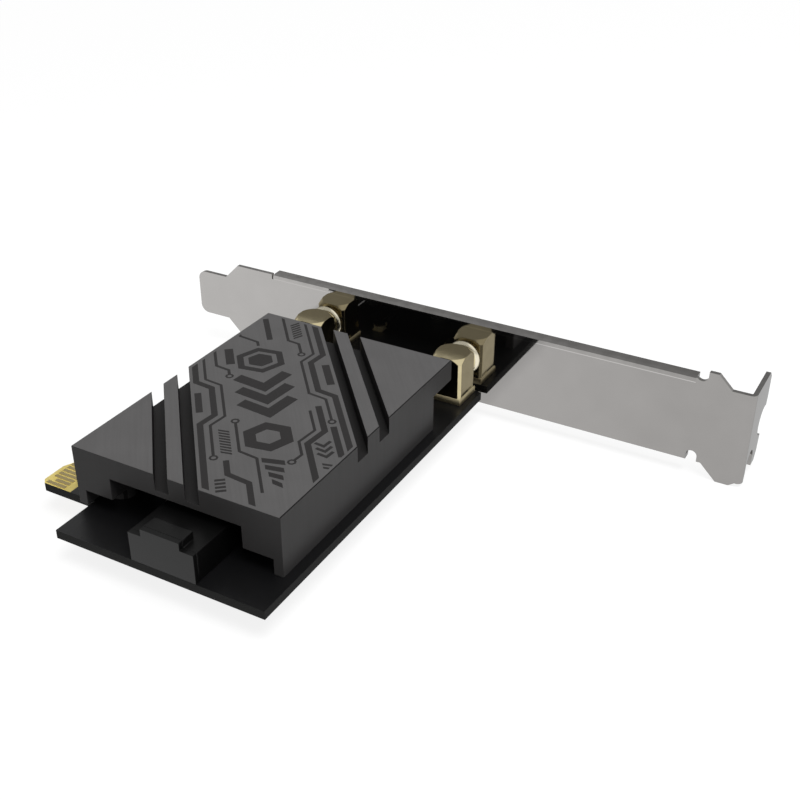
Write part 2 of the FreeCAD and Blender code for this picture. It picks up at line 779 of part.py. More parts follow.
SOCKET_REAR = MODULE_FRONT + " + socket_hold"
SOCKET_LEFT = SINK_MIDDLE + " - socket_width / 2"
housing = block("socket_outside", SOCKET_LEFT, SOCKET_REAR + " - socket_depth", "board_thickness",
                "socket_width", "socket_depth", "socket_height")
KEY_MIDDLE = SINK_MIDDLE + " + notch_place"
KEY_HALF = "(notch_width / 2 - socket_gap)"
MOUTH_LEVEL = MODULE_LEVEL + " - socket_gap"
MOUTH_HEIGHT = "module_thickness + 2 * socket_gap"
FINGER_LOW = SINK_MIDDLE + " - finger_width / 2 - socket_gap"
FINGER_HIGH = SINK_MIDDLE + " + finger_width / 2 + socket_gap"
mouth_parts = []
for label, low, high in (("wide", FINGER_LOW, "%s - %s" % (KEY_MIDDLE, KEY_HALF)),
                         ("narrow", "%s + %s" % (KEY_MIDDLE, KEY_HALF), FINGER_HIGH)):
    mouth_parts.append(block("mouth_" + label, low, MODULE_FRONT + " - socket_gap", MOUTH_LEVEL,
                             "(%s) - (%s)" % (high, low), "socket_hold + socket_gap", MOUTH_HEIGHT))
mouth_parts.append(block("mouth_behind_key", KEY_MIDDLE + " - notch_width / 2",
                         MODULE_FRONT + " + notch_depth - socket_gap", MOUTH_LEVEL,
                         "notch_width", "socket_hold - notch_depth + socket_gap", MOUTH_HEIGHT))
node(less("socket_shell", housing, joined("socket_mouth", mouth_parts)), "module_socket")

leads = []
for row, y in (("front", SOCKET_REAR + " - socket_depth - lead_length"), ("rear", SOCKET_REAR)):
    for i in range(int(value("lead_count"))):
        x = SINK_MIDDLE + " + (%d - (lead_count - 1) / 2) * lead_pitch - lead_width / 2" % i
        leads.append(block("lead_%s_%d" % (row, i), x, y, "board_thickness",
                           "lead_width", "lead_length", "lead_thickness"))
node(together("lead_rows", leads), "module_socket_leads")

seat = rod("standoff_post", SINK_MIDDLE, MODULE_REAR, "board_thickness", "standoff_radius", "module_lift")
tail = rod("standoff_foot", SINK_MIDDLE, MODULE_REAR, "0", "standoff_tail", "board_thickness")
thread = rod("standoff_thread", SINK_MIDDLE, MODULE_REAR, "0",
             "screw_radius + screw_gap", "board_thickness + module_lift")
node(less("standoff_body", joined("standoff_outside", [seat, tail]), thread), "module_standoff")

SEAT_LEVEL = MODULE_LEVEL + " + module_thickness"
seat_head = rod("seat_head", SINK_MIDDLE, MODULE_REAR, SEAT_LEVEL, "seat_head", "seat_head_height")
seat_shank = rod("seat_shank", SINK_MIDDLE, MODULE_REAR, MODULE_LEVEL + " - seat_screw_length",
                 "screw_radius", "seat_screw_length + module_thickness")
seat_cross = cross_slot("seat_cross", SINK_MIDDLE, MODULE_REAR,
                        SEAT_LEVEL + " + seat_head_height - cross_depth", "screw_radius", "cross_depth")
node(less("seat_screw", joined("seat_screw_body", [seat_head, seat_shank]), seat_cross), "module_screw")

# %% Antenna jacks

BARREL_FREE = "sheet_thickness + washer_thickness + nut_height + nut_clear"
PITCH_RADIUS = "barrel_radius - thread_half_depth"


def jack(side, middle):
    """A right-angle jack: a block with a turned top on a square base, a collar and a threaded barrel."""
    body = body_at("jack_" + side, middle, "0", "board_thickness")
    half = "block_size / 2"
    corner = "(block_size / 2 - block_corner)"
    near_y = JACK_Y + " - "
    far_y = JACK_Y + " + "
    base = sketch_on(body, "XY_Plane")
    rectangle(base, "-" + half, near_y + half, half, far_y + half)
    pad(body, base, "base_height")
    column = sketch_on(body, "XY_Plane")
    polygon(column, [
        ("-" + corner, near_y + half), (corner, near_y + half),
        (half, near_y + corner), (half, far_y + corner),
        (corner, far_y + half), ("-" + corner, far_y + half),
        ("-" + half, far_y + corner), ("-" + half, near_y + corner),
    ])
    pad(body, column, "block_top")
    legs = sketch_on(body, "XY_Plane")
    for across in ("-", "+"):
        for deep in ("-", "+"):
            x = "%sleg_spacing / 2" % across
            y = "%s %s leg_spacing / 2" % (JACK_Y, deep)
            rectangle(legs, x + " - leg_width / 2", y + " - leg_width / 2",
                      x + " + leg_width / 2", y + " + leg_width / 2")
    pad(body, legs, "board_thickness + leg_reach", backward=True)
    # The turned top: what lies outside a 45 degree cone around the block's middle is cut away.
    cone = sketch_on(body, "YZ_Plane")
    rim = JACK_Y + " + block_disc"
    polygon(cone, [(rim, "block_top"), (rim + " + turned_depth", "block_top - turned_depth"),
                   (rim + " + turned_depth", "block_top")])
    axis = sketch_on(body, "YZ_Plane")
    axis.addGeometry(Part.LineSegment(V(1, 1, 0), V(1, 2, 0)), False)
    axis.addConstraint(Sketcher.Constraint("Vertical", 0))
    tied = axis.addConstraint(Sketcher.Constraint("DistanceX", -1, 1, 0, 1, 1))
    bind(axis, "Constraints[%d]" % tied, JACK_Y)
    tied = axis.addConstraint(Sketcher.Constraint("DistanceY", -1, 1, 0, 1, 1))
    bind(axis, "Constraints[%d]" % tied, "0")
    tied = axis.addConstraint(Sketcher.Constraint("DistanceY", 0, 1, 0, 2, 1))
    bind(axis, "Constraints[%d]" % tied, "block_top")
    before = body.Shape.Volume
    turned = body.newObject("PartDesign::Groove", "jack_top_" + side)
    turned.Profile = cone
    turned.ReferenceAxis = (axis, ["Edge1"])
    turned.Angle = 360
    body.Tip = turned
    doc.recompute()
    if body.Shape.Volume > before - LEAST:
        raise RuntimeError("the turned top of a jack removes nothing")

    # The plane's normal is -Y, so a level is a distance inward from the plate's inner face.
    neck = sketch_on(body, "XZ_Plane", "board_gap + block_corner")
    circle(neck, "0", "jack_axis", "neck_radius")
    pad(body, neck, "board_gap + block_corner - collar_thickness / 2", backward=True)
    collar = sketch_on(body, "XZ_Plane", "collar_thickness")
    circle(collar, "0", "jack_axis", "collar_radius")
    pad(body, collar, "collar_thickness", backward=True)
    held = sketch_on(body, "XZ_Plane", "collar_thickness / 2")
    circle(held, "0", "jack_axis", PITCH_RADIUS)
    pad(body, held, "collar_thickness / 2 + " + BARREL_FREE, backward=True)
    barrel = sketch_on(body, "XZ_Plane", "-(%s)" % BARREL_FREE)
    circle(barrel, "0", "jack_axis", "barrel_radius")
    pad(body, barrel, "barrel_reach - (%s)" % BARREL_FREE, backward=True)

    recess = sketch_on(body, "XZ_Plane", "-barrel_reach")
    circle(recess, "0", "jack_axis", "recess_radius")
    pocket(body, recess, "recess_depth", backward=True)
    bore = sketch_on(body, "XZ_Plane", "-barrel_reach + recess_depth")
    circle(bore, "0", "jack_axis", "core_radius")
    pocket(body, bore, "barrel_reach - recess_depth - (%s) + core_radius" % JACK_Y, backward=True)
    drop = sketch_on(body, "XY_Plane")
    circle(drop, "0", JACK_Y, "drop_radius")
    pocket(body, drop, "jack_axis", backward=True)
    return node(body, "antenna_jack_" + side)


AXIS_LEVEL = "board_thickness + jack_axis"
NUT_START = "sheet_thickness + washer_thickness"


def nut_drum(side, middle):
    """A nut's turned outline: a drum with a slanted edge at each end, which cuts the hexagon's corners."""
    small = "(nut_width / sqrt(3) - nut_turning)"
    ends = []
    for label, start, first, second in (("near", NUT_START, small, "nut_width / sqrt(3)"),
                                        ("far", NUT_START + " + nut_height - nut_slant",
                                         "nut_width / sqrt(3)", small)):
        end = doc.addObject("Part::Cone", "nut_%s_%s" % (label, side))
        end.Placement = FreeCAD.Placement(V(), FreeCAD.Rotation(V(1, 0, 0), -90))
        bind(end, "Radius1", first)
        bind(end, "Radius2", second)
        bind(end, "Height", "nut_slant")
        place(end, middle, start, AXIS_LEVEL)
        ends.append(end)
    waist = rod("nut_waist_" + side, middle, NUT_START + " + nut_slant", AXIS_LEVEL,
                "nut_width / sqrt(3)", "nut_height - 2 * nut_slant", outward=True)
    return joined("nut_drum_" + side, ends + [waist])


cores = []
wires = []
washers = []
nuts = []
for side, middle in JACK_SIDES.items():
    jack(side, middle)
    wire_out = rod("wire_out_" + side, middle, JACK_Y, AXIS_LEVEL, "wire_radius",
                   "barrel_reach - wire_inset - (%s)" % JACK_Y, outward=True)
    wire_down = rod("wire_down_" + side, middle, JACK_Y, "-leg_reach", "wire_radius",
                    AXIS_LEVEL + " + leg_reach")
    elbow = doc.addObject("Part::Sphere", "wire_elbow_" + side)
    bind(elbow, "Radius", "wire_radius")
    place(elbow, middle, JACK_Y, AXIS_LEVEL)
    wire = joined("wire_" + side, [wire_out, wire_down, elbow])
    wires.append(wire)
    core_out = rod("core_out_" + side, middle, JACK_Y + " - core_radius", AXIS_LEVEL, "core_radius",
                   "barrel_reach - recess_depth - (%s) + core_radius" % JACK_Y, outward=True)
    core_down = rod("core_down_" + side, middle, JACK_Y, "board_thickness", "drop_radius", "jack_axis")
    cores.append(less("core_" + side, joined("core_solid_" + side, [core_out, core_down]), wire))
    ring = rod("ring_outside_" + side, middle, "sheet_thickness", AXIS_LEVEL,
               "washer_radius", "washer_thickness", outward=True)
    ring_hole = rod("ring_hole_" + side, middle, "sheet_thickness", AXIS_LEVEL,
                    "barrel_radius + barrel_gap", "washer_thickness", outward=True)
    washers.append(less("ring_" + side, ring, ring_hole))
    hexagon = doc.addObject("Part::Prism", "hexagon_" + side)
    hexagon.Polygon = 6
    hexagon.Placement = FreeCAD.Placement(V(), FreeCAD.Rotation(V(1, 0, 0), -90))
    bind(hexagon, "Circumradius", "nut_width / sqrt(3)")
    bind(hexagon, "Height", "nut_height")
    place(hexagon, middle, NUT_START, AXIS_LEVEL)
    nut_hole = rod("nut_hole_" + side, middle, NUT_START, AXIS_LEVEL,
                   PITCH_RADIUS + " + screw_gap", "nut_height", outward=True)
    turned = common("nut_turned_" + side, hexagon, nut_drum(side, middle))
    nuts.append(less("nut_" + side, turned, nut_hole))
node(together("wire_pair", wires), "jack_centre_contacts")
node(together("core_pair", cores), "jack_insulators")
node(together("washer_pair", washers), "jack_washers")
node(together("nut_pair", nuts), "jack_nuts")

# %% Cable header and its cap


def hat(sketch):
    """The header's front outline: a box with a raised middle."""
    low = "(header_width - latch_width) / 2"
    high = "(header_width + latch_width) / 2"
    polygon(sketch, [("0", "0"), ("header_width", "0"), ("header_width", "header_height"),
                     (high, "header_height"), (high, "header_height + latch_height"),
                     (low, "header_height + latch_height"), (low, "header_height"), ("0", "header_height")])


header_pins = []
for i in range(int(value("pin_count"))):
    x = HEADER_LEFT + " + header_width / 2 + (%d - (pin_count - 1) / 2) * pin_pitch - pin_width / 2" % i
    level = "board_thickness + header_height / 2 - pin_width / 2"
    lying = block("pin_lying_%d" % i, x, "-board_reach + pin_start", level, "pin_width",
                  "header_depth + pin_behind + pin_width - pin_start", "pin_width")
    standing = block("pin_standing_%d" % i, x, HEADER_BACK + " + pin_behind", "-pin_reach", "pin_width",
                     "pin_width", level + " + pin_reach")
    header_pins.append(joined("pin_%d" % i, [lying, standing]))
pins = together("pin_row", header_pins)

header = body_at("header_body", HEADER_LEFT, "-board_reach", "board_thickness")
front = sketch_on(header, "XZ_Plane", "-cap_thickness")
rectangle(front, "0", "0", "header_width", "header_height")
pad(header, front, "header_depth - cap_thickness", backward=True)
latch = sketch_on(header, "XZ_Plane", "-cap_thickness")
rectangle(latch, "(header_width - latch_width) / 2", "header_height - header_wall",
          "(header_width + latch_width) / 2", "header_height + latch_height")
pad(header, latch, "latch_depth - cap_thickness", backward=True)
mouth = sketch_on(header, "XZ_Plane", "-cap_thickness")
rectangle(mouth, "header_wall", "header_wall", "header_width - header_wall", "header_height - header_wall")
pocket(header, mouth, "header_cavity")
node(less("header_shell", header, pins), "cable_header")
node(pins, "cable_header_pins")

cap = body_at("cap_body", HEADER_LEFT, "-board_reach", "board_thickness")
cap_face = sketch_on(cap, "XZ_Plane")
hat(cap_face)
pad(cap, cap_face, "cap_thickness", backward=True)
cap_core = sketch_on(cap, "XZ_Plane", "-cap_thickness")
rectangle(cap_core, "header_wall + cap_gap", "header_wall + cap_gap", "header_width - header_wall - cap_gap",
          "header_height - header_wall - cap_gap")
pad(cap, cap_core, "cap_plug", backward=True)
node(cap, "cable_header_cap")

# %% Coaxial jumpers, with a receptacle and a plug at each end

OUTLETS = {"left": SINK_MIDDLE + " - outlet_spacing / 2", "right": SINK_MIDDLE + " + outlet_spacing / 2"}
OUTLET_Y = MODULE_REAR + " - outlet_inset"
OUTLET_LEVEL = MODULE_LEVEL + " + module_thickness"
module_outlets = []
board_outlets = []
plugs = []
for side, x in OUTLETS.items():
    for label, y, level, tail, kept in (("module", OUTLET_Y, OUTLET_LEVEL, 1, module_outlets),
                                        ("board", "-landing_reach", "board_thickness", -1, board_outlets)):
        name = "%s_%s" % (label, side)
        foot = block("outlet_foot_" + name, x + " - outlet_size / 2", y + " - outlet_size / 2", level,
                     "outlet_size", "outlet_size", "outlet_base")
        stem = rod("outlet_stem_" + name, x, y, level, "outlet_ring", "outlet_base + outlet_rise")
        kept.append(joined("outlet_" + name, [foot, stem]))
        top = level + " + outlet_base"
        cup = rod("plug_cup_" + name, x, y, top, "plug_radius", "plug_height")
        start = y if tail > 0 else y + " - plug_tail"
        arm = block("plug_arm_" + name, x + " - plug_tail_width / 2", start, top,
                    "plug_tail_width", "plug_tail", "plug_height")
        hollow = rod("plug_hollow_" + name, x, y, top, "outlet_ring + plug_gap", "outlet_rise + plug_gap")
        plugs.append(less("plug_" + name, joined("plug_outside_" + name, [cup, arm]), hollow))
node(together("module_outlet_pair", module_outlets), "module_receptacles")
node(together("board_outlet_pair", board_outlets), "board_receptacles")
node(together("plug_set", plugs), "jumper_plugs")

coax = value("coax_radius")


def route(points):
    """A wire of straight runs joined by arcs that touch both runs; prints each arc's radius."""
    edges = []
    start = points[0]
    length = 0.0
    for before, corner, after in zip(points, points[1:], points[2:]):
        back = before - corner
        ahead = after - corner
        shorter = min(back.Length, ahead.Length)
        turn = math.pi - back.getAngle(ahead)
        reach = 0.45 * shorter
        radius = reach / math.tan(turn / 2)
        enter = corner + back.normalize() * reach
        leave = corner + ahead.normalize() * reach
        # The arc's middle lies on the corner's bisector, just inside the corner.
        bisector = (back + ahead).normalize()
        middle = corner + bisector * (radius / math.cos(turn / 2) - radius)
        edges.append(Part.LineSegment(start, enter).toShape())
        edges.append(Part.Arc(enter, middle, leave).toShape())
        length += (enter - start).Length + radius * turn
        start = leave
        print("    arc radius %.2f mm, turn %.1f degrees" % (radius, math.degrees(turn)))
    edges.append(Part.LineSegment(start, points[-1]).toShape())
    length += (points[-1] - start).Length
    return Part.Wire(edges), length


plug_middle = value("outlet_base") + value("plug_height") / 2
high = value("board_thickness") + value("module_lift") + value("module_thickness") + plug_middle
low = value("board_thickness") + plug_middle
header_back = -value("board_reach") + value("header_depth")
module_front = header_back + value("module_room") + value("socket_depth") - value("socket_hold")
from_y = module_front + value("module_length") - value("outlet_inset") + value("plug_tail")
to_y = -value("landing_reach") - value("plug_tail")
run = value("coax_run")
corners = [V(0, from_y, high), V(0, from_y + run, high), V(0, to_y - run, low), V(0, to_y, low)]
spine, spine_length = route(corners)
profile = Part.Wire([Part.Circle(V(0, from_y, high), V(0, 1, 0), coax).toShape()])
tube = spine.makePipeShell([profile], True, False)
expected = math.pi * coax * coax * spine_length
if abs(tube.Volume / expected - 1) > 0.01:
    raise RuntimeError("the jumper's volume is not its section times its length")
print("jumper length %.2f mm" % spine_length)
for side, x in OUTLETS.items():
    lead = doc.addObject("Part::Feature", "jumper_" + side)
    lead.Shape = tube
    place(lead, x, "0", "0")
    node(lead, "coax_jumper_" + side)

# %% Small parts on the board, under the module

node(block("coil_block", SINK_MIDDLE + " - power_spacing / 2 - coil_size / 2",
           MODULE_FRONT + " + power_row - coil_size / 2", "board_thickness",
           "coil_size", "coil_size", "coil_height"), "power_inductor")
node(block("regulator_block", SINK_MIDDLE + " + power_spacing / 2 - regulator_size / 2",
           MODULE_FRONT + " + power_row - regulator_size / 2", "board_thickness",
           "regulator_size", "regulator_size", "regulator_height"), "power_regulator")
capacitors = []
for i in range(int(value("capacitor_count"))):
    x = SINK_MIDDLE + " + (%d - (capacitor_count - 1) / 2) * capacitor_pitch - capacitor_width / 2" % i
    capacitors.append(block("capacitor_%d" % i, x, MODULE_FRONT + " + capacitor_row", "board_thickness",
                            "capacitor_width", "capacitor_length", "capacitor_width"))
node(together("capacitor_row", capacitors), "board_capacitors")

# %% Check and write

doc.recompute()
for item in doc.Objects:
    if "Invalid" in item.State or "Error" in item.State:
        raise RuntimeError("%s failed: %s" % (item.Label, item.State))
os.makedirs("parts", exist_ok=True)
for item in nodes:
    shape = item.Shape
    if shape.isNull() or not shape.isValid() or not shape.Solids:
        raise RuntimeError("%s has no valid solid" % item.Label)
    shape.exportStep("parts/%s.step" % item.Label)
    box = shape.BoundBox
    facts = (item.Label, len(shape.Solids), box.XLength, box.YLength, box.ZLength, shape.Volume)
    print("%-24s %3d solids  %7.2f x %7.2f x %7.2f mm  %9.2f mm3" % facts)
print("%d nodes" % len(nodes))
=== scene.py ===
# %% [markdown]
# # A wireless network card, dressed in Blender
#
# The card comes in as a frame of exact solids, in metres, each where it belongs. This lesson gives every
# one of them the finish of the real piece. Those whose real surface is finer than the solids show are made
# again around them: softened edges on sheet, board and aluminium, the turned and threaded jacks with their
# nuts, the pattern printed on the heat sink, and the solder under the board.
#
# The frame is loaded first, because every place further down is read from it.

# %% Load the frame
import math

import bmesh
import bpy
import numpy as np
from mathutils import Matrix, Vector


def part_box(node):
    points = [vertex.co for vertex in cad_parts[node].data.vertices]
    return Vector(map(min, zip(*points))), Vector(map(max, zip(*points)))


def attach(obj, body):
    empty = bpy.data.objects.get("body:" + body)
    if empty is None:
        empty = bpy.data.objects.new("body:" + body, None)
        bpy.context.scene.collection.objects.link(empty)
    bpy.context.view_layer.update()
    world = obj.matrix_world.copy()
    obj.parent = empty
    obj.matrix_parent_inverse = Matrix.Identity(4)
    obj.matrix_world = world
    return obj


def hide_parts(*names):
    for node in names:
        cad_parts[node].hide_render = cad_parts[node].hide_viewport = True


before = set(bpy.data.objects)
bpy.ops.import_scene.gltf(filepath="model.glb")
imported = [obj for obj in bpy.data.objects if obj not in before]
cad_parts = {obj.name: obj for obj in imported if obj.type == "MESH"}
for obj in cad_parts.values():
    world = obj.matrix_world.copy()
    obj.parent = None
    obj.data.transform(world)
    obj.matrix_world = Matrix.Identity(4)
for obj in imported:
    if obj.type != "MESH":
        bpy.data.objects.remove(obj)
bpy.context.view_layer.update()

MM = 0.001

# %% [markdown]
# ## Camera
#
# The photograph looks down on the card from the front right, with the bracket across the picture. Its place
# was solved beforehand from things of known size: the edge contacts, which repeat every millimetre, and the
# bracket's standard length. A camera that is set by a place and three turns is easy to read, and easier to
# check against a photograph than one that is aimed at a target.

# %% Camera
CAMERA_PLACE = (89.09, -147.91, 118.91)  # millimetres, in the card's frame
CAMERA_HEADING = 28.90                   # degrees to the left of +Y
CAMERA_DOWN = 30.39                      # degrees below level
CAMERA_ROLL = 0.17
CAMERA_LENS = 51.9                       # millimetres, on a sensor 36 mm wide

camera = bpy.data.objects.new("camera", bpy.data.cameras.new("camera"))
bpy.context.scene.collection.objects.link(camera)
camera.data.lens = CAMERA_LENS
camera.data.clip_start = 0.01
camera.matrix_world = (
    Matrix.Translation([c * MM for c in CAMERA_PLACE])
    @ Matrix.Rotation(math.radians(CAMERA_HEADING), 4, "Z")
    @ Matrix.Rotation(math.radians(90 - CAMERA_DOWN), 4, "X")
    @ Matrix.Rotation(math.radians(CAMERA_ROLL), 4, "Z")
)
bpy.context.scene.camera = camera
bpy.context.scene.view_settings.view_transform = "Standard"
print("camera at", [round(c, 4) for c in camera.location])

# %% [markdown]
# ## Colours and nodes
#
# Three small tools serve every material. The first turns a colour as a painter's chart gives it, in sRGB,
# into the linear light that the renderer mixes: each channel c becomes c / 12.92 below 0.04045, and above
# it (c + 0.055) / 1.055, to the power 2.4. The second fills a node's sockets, and the third adds a node
# with its settings, so that each material below reads as a short recipe. A socket takes a plain value, a
# colour's code, another node's output, or just that node, which stands for its first output in use. Sockets
# in a list go in order: a Map Range's are its value, the range that it comes from and the one it goes to.

# %% Tools for materials


def colour(code):
    """The linear red, green, blue and alpha of a colour such as #5F5E5D."""
    channels = np.array([int(code[i:i + 2], 16) / 255 for i in (1, 3, 5)])
    linear = np.where(channels <= 0.04045, channels / 12.92, ((channels + 0.055) / 1.055) ** 2.4)
    return (*linear.tolist(), 1.0)


def fill(node, sockets):
    """Gives sockets their links and values: a dict names or numbers them, and a list takes them in order."""
    for socket, filling in sockets.items() if isinstance(sockets, dict) else enumerate(sockets):
        if isinstance(filling, bpy.types.Node):
            filling = next(output for output in filling.outputs if output.enabled)
        if isinstance(filling, bpy.types.NodeSocket):
            node.id_data.links.new(filling, node.inputs[socket])
        else:
            node.inputs[socket].default_value = colour(filling) if isinstance(filling, str) else filling


def add(tree, kind, sockets=(), **settings):
    """Adds one node: sockets are its inputs with what fills them, and settings its own fields."""
    node = tree.nodes.new("ShaderNode" + kind)
    for field, setting in settings.items():
        setattr(node, field, setting)
    fill(node, sockets)
    return node


def every(millimetres):
    """The texture scale at which a pattern repeats about once in that many millimetres."""
    return 1 / (millimetres * MM)


print("mid grey #808080 is", round(colour("#808080")[0], 3), "in linear light")

# %% [markdown]
# ## Floor, background and light
#
# The photograph has no floor to see, only white, so the floor is white where the camera looks and where
# metal mirrors it, and yet keeps a soft shadow: most of its brightness is its own, and the light that falls
# on it adds the rest. Its own light grows far from the card, so that it stays white up to the horizon, and
# is taken away under the card, where a real floor is dark. For the light that it throws back on the card it
# is a middle grey, as a studio's table would be, or the sides and the underside would be lit from below.
#
# The world does the same job above the horizon: white to the camera, and in reflections white at the
# horizon and dimmer overhead, which is what gives bright metal its dark upper faces, with one soft box high
# on the right. Two lamps do the lighting itself, and set the plain level at which a level surface renders
# about as its colour is written. They are kept out of reflections, because the soft box already stands for
# them there.

# %% Floor
FLOOR_HALF = 3000.0      # millimetres
FLOOR_OWN_LIGHT = 0.84   # of full white, near the card, and all of it where the lamps no longer reach
FAR = (200.0, 1500.0)    # millimetres from the card, from the one to the other
SHADE_MIDDLE = (-22.0, 5.0, 0.0)   # the painted shadow on the floor under the card: its middle, in millimetres
SHADE_HALF = (26.0, 25.0)
SHADE_FADE = 4.0         # the patch's soft rim
SHADE_LIGHT = 0.15       # what the patch keeps of its own light
FLOOR_LIT_GREY = "#848484"    # what the lamps light up
TABLE_GREY = "#737373"        # and what the card is lit back by

floor_mesh = bpy.data.meshes.new("floor")
corners = np.array([(-1, -1, 0), (1, -1, 0), (1, 1, 0), (-1, 1, 0)]) * FLOOR_HALF * MM
floor_mesh.from_pydata(corners.tolist(), [], [(0, 1, 2, 3)])
floor = bpy.data.objects.new("floor", floor_mesh)
bpy.context.scene.collection.objects.link(floor)

floor_white = bpy.data.materials.new("white table top")
floor_white.use_nodes = True
tree = floor_white.node_tree
tree.nodes.clear()
path = add(tree, "LightPath")
seen = add(tree, "Math", [path.outputs["Is Camera Ray"], path.outputs["Is Glossy Ray"]], operation="ADD")
seen = add(tree, "Math", [seen, path.outputs["Is Transmission Ray"]], operation="ADD", use_clamp=True)
places = add(tree, "TexCoord").outputs["Object"]
distance = add(tree, "VectorMath", [places], operation="LENGTH")
own = add(tree, "MapRange", [distance.outputs["Value"], FAR[0] * MM, FAR[1] * MM, FLOOR_OWN_LIGHT])
# painted shadow: under the card the floor's own light is dimmed to SHADE_LIGHT, with a soft rim
aside = add(tree, "VectorMath", [places, [c * MM for c in SHADE_MIDDLE]], operation="SUBTRACT")
aside = add(tree, "VectorMath", [aside], operation="ABSOLUTE")
aside = add(tree, "SeparateXYZ", [aside])
past = [add(tree, "Math", [aside.outputs[axis], half * MM], operation="SUBTRACT")
        for axis, half in enumerate(SHADE_HALF)]
past = add(tree, "Math", past, operation="MAXIMUM")
shade = add(tree, "MapRange", [past, -SHADE_FADE * MM, 0.0, SHADE_LIGHT])
own = add(tree, "Math", [own, shade], operation="MULTIPLY")
lit = add(tree, "BsdfDiffuse", {"Color": FLOOR_LIT_GREY})
glow = add(tree, "Emission", {"Color": "#FFFFFF", "Strength": own})
shown = add(tree, "AddShader", [lit, glow])
thrown_back = add(tree, "BsdfDiffuse", {"Color": TABLE_GREY})
whole = add(tree, "MixShader", [seen, thrown_back, shown])
add(tree, "OutputMaterial", {"Surface": whole})
floor_mesh.materials.append(floor_white)
print("floor", 2 * FLOOR_HALF, "mm square")

# %% World
SKY_FOR_SURFACES = 0.30     # dim even light on every surface
SKY_HORIZON = 1.0           # what metal mirrors at the horizon
SKY_OVERHEAD = 0.43         # and well above it
SKY_FADE = (0.02, 0.42)     # sine of the height at which the one starts to give way to the other, and ends
SOFT_BOX = (0.55, -0.13, 0.82)    # the way to its middle
SOFT_BOX_EDGE = (0.78, 0.93)      # cosine of the angle from its middle, from nothing to full
SOFT_BOX_LIGHT = 0.55

world = bpy.data.worlds.new("studio")
bpy.context.scene.world = world
world.use_nodes = True
tree = world.node_tree
tree.nodes.clear()
way = add(tree, "TexCoord").outputs["Generated"]
height = add(tree, "SeparateXYZ", [way])
mirrored = add(tree, "MapRange", [height.outputs["Z"], *SKY_FADE, SKY_HORIZON, SKY_OVERHEAD],
               interpolation_type="SMOOTHSTEP")
nearness = add(tree, "VectorMath", [way, SOFT_BOX], operation="DOT_PRODUCT")
box = add(tree, "MapRange", [nearness.outputs["Value"], *SOFT_BOX_EDGE, 0.0, SOFT_BOX_LIGHT],
          interpolation_type="SMOOTHSTEP")
mirrored = add(tree, "Math", [mirrored, box], operation="ADD")
path = add(tree, "LightPath")
shiny = add(tree, "Math", [path.outputs["Is Glossy Ray"], path.outputs["Is Transmission Ray"]],
            operation="ADD", use_clamp=True)
strength = add(tree, "Mix", {0: shiny, 2: SKY_FOR_SURFACES, 3: mirrored})
strength = add(tree, "Mix", {0: path.outputs["Is Camera Ray"], 2: strength, 3: 1.0})
sky = add(tree, "Background", {"Color": "#FFFFFF", "Strength": strength})
add(tree, "OutputWorld", {"Surface": sky})
print("world: surfaces", SKY_FOR_SURFACES, "mirrored", SKY_HORIZON, "to", SKY_OVERHEAD)

# %% Lamps
LAMPS = {
    # name: place in millimetres, side in millimetres, watts
    "overhead_lamp": ((150.0, -70.0, 560.0), 380.0, 2.5),
    "front_lamp": ((-60.0, -520.0, 240.0), 260.0, 0.12),
}
for name, (place, side, watts) in LAMPS.items():
    lamp = bpy.data.objects.new(name, bpy.data.lights.new(name, "AREA"))
    bpy.context.scene.collection.objects.link(lamp)
    lamp.data.size = side * MM
    lamp.data.energy = watts
    lamp.location = [c * MM for c in place]
    lamp.rotation_euler = (-lamp.location).to_track_quat("-Z", "Y").to_euler()
    lamp.visible_glossy = False
    print(name, "at", place, "with", watts, "W")

# %% [markdown]
# ## How surfaces are made here
#
# A turned, moulded or milled form is a stack of rings: ring i lies at one height along an axis, and its
# radius may change with the angle, so the same function gives a round collar, a square block and a
# hexagonal nut. Where two such outlines meet, the smaller radius counts, and a smooth minimum rounds the
# edge between them: min(a, b) less k h (1 - h), with h going from 0 to 1 as the two radii swap places.
# Whole arrays are worked out at once, and the mesh is filled from them.

# %% Rings


def smaller(a, b, rounding):
    """The smooth minimum of two radii, with an edge rounded over that many millimetres."""
    swap = np.clip(0.5 + 0.5 * (b - a) / rounding, 0, 1)
    return b * (1 - swap) + a * swap - rounding * swap * (1 - swap)


def angles(columns):
    """Evenly spaced angles round one turn."""
    return np.arange(columns) * 2 * np.pi / columns


def rings(radius, level, middle, axis="Z"):
    """A closed surface from rings of radius[ring, column] at level[ring], closed at both ends by a pole.

    The point at angle t of a ring round Z is middle + radius (cos t, sin t), at its level; round Y it is
    middle + radius (sin t, cos t) in X and Z. Faces point outward as long as the rings go up the outside.
    """
    count, columns = radius.shape
    turn = angles(columns)
    first, second = radius * np.cos(turn), radius * np.sin(turn)
    level = np.broadcast_to(level[:, None], radius.shape)
    if axis == "Z":
        points = np.stack([middle[0] + first, middle[1] + second, level], axis=2)
        poles = [[*middle, level[0, 0]], [*middle, level[-1, 0]]]
    else:
        points = np.stack([middle[0] + second, level, middle[1] + first], axis=2)
        poles = [[middle[0], level[end, 0], middle[1]] for end in (0, -1)]
    index = np.arange(count * columns).reshape(count, columns)
    after = np.roll(index, -1, axis=1)
    quads = np.stack([index[:-1], after[:-1], after[1:], index[1:]], axis=2).reshape(-1, 4)
    start = np.stack([np.full(columns, index.size), after[0], index[0]], axis=1)
    end = np.stack([np.full(columns, index.size + 1), index[-1], after[-1]], axis=1)
    return np.vstack([points.reshape(-1, 3), poles]), [quads, start, end]


print("two radii of 3 mm, rounded over 0.4 mm, meet at", smaller(3.0, 3.0, 0.4), "mm")

# %% Pieces


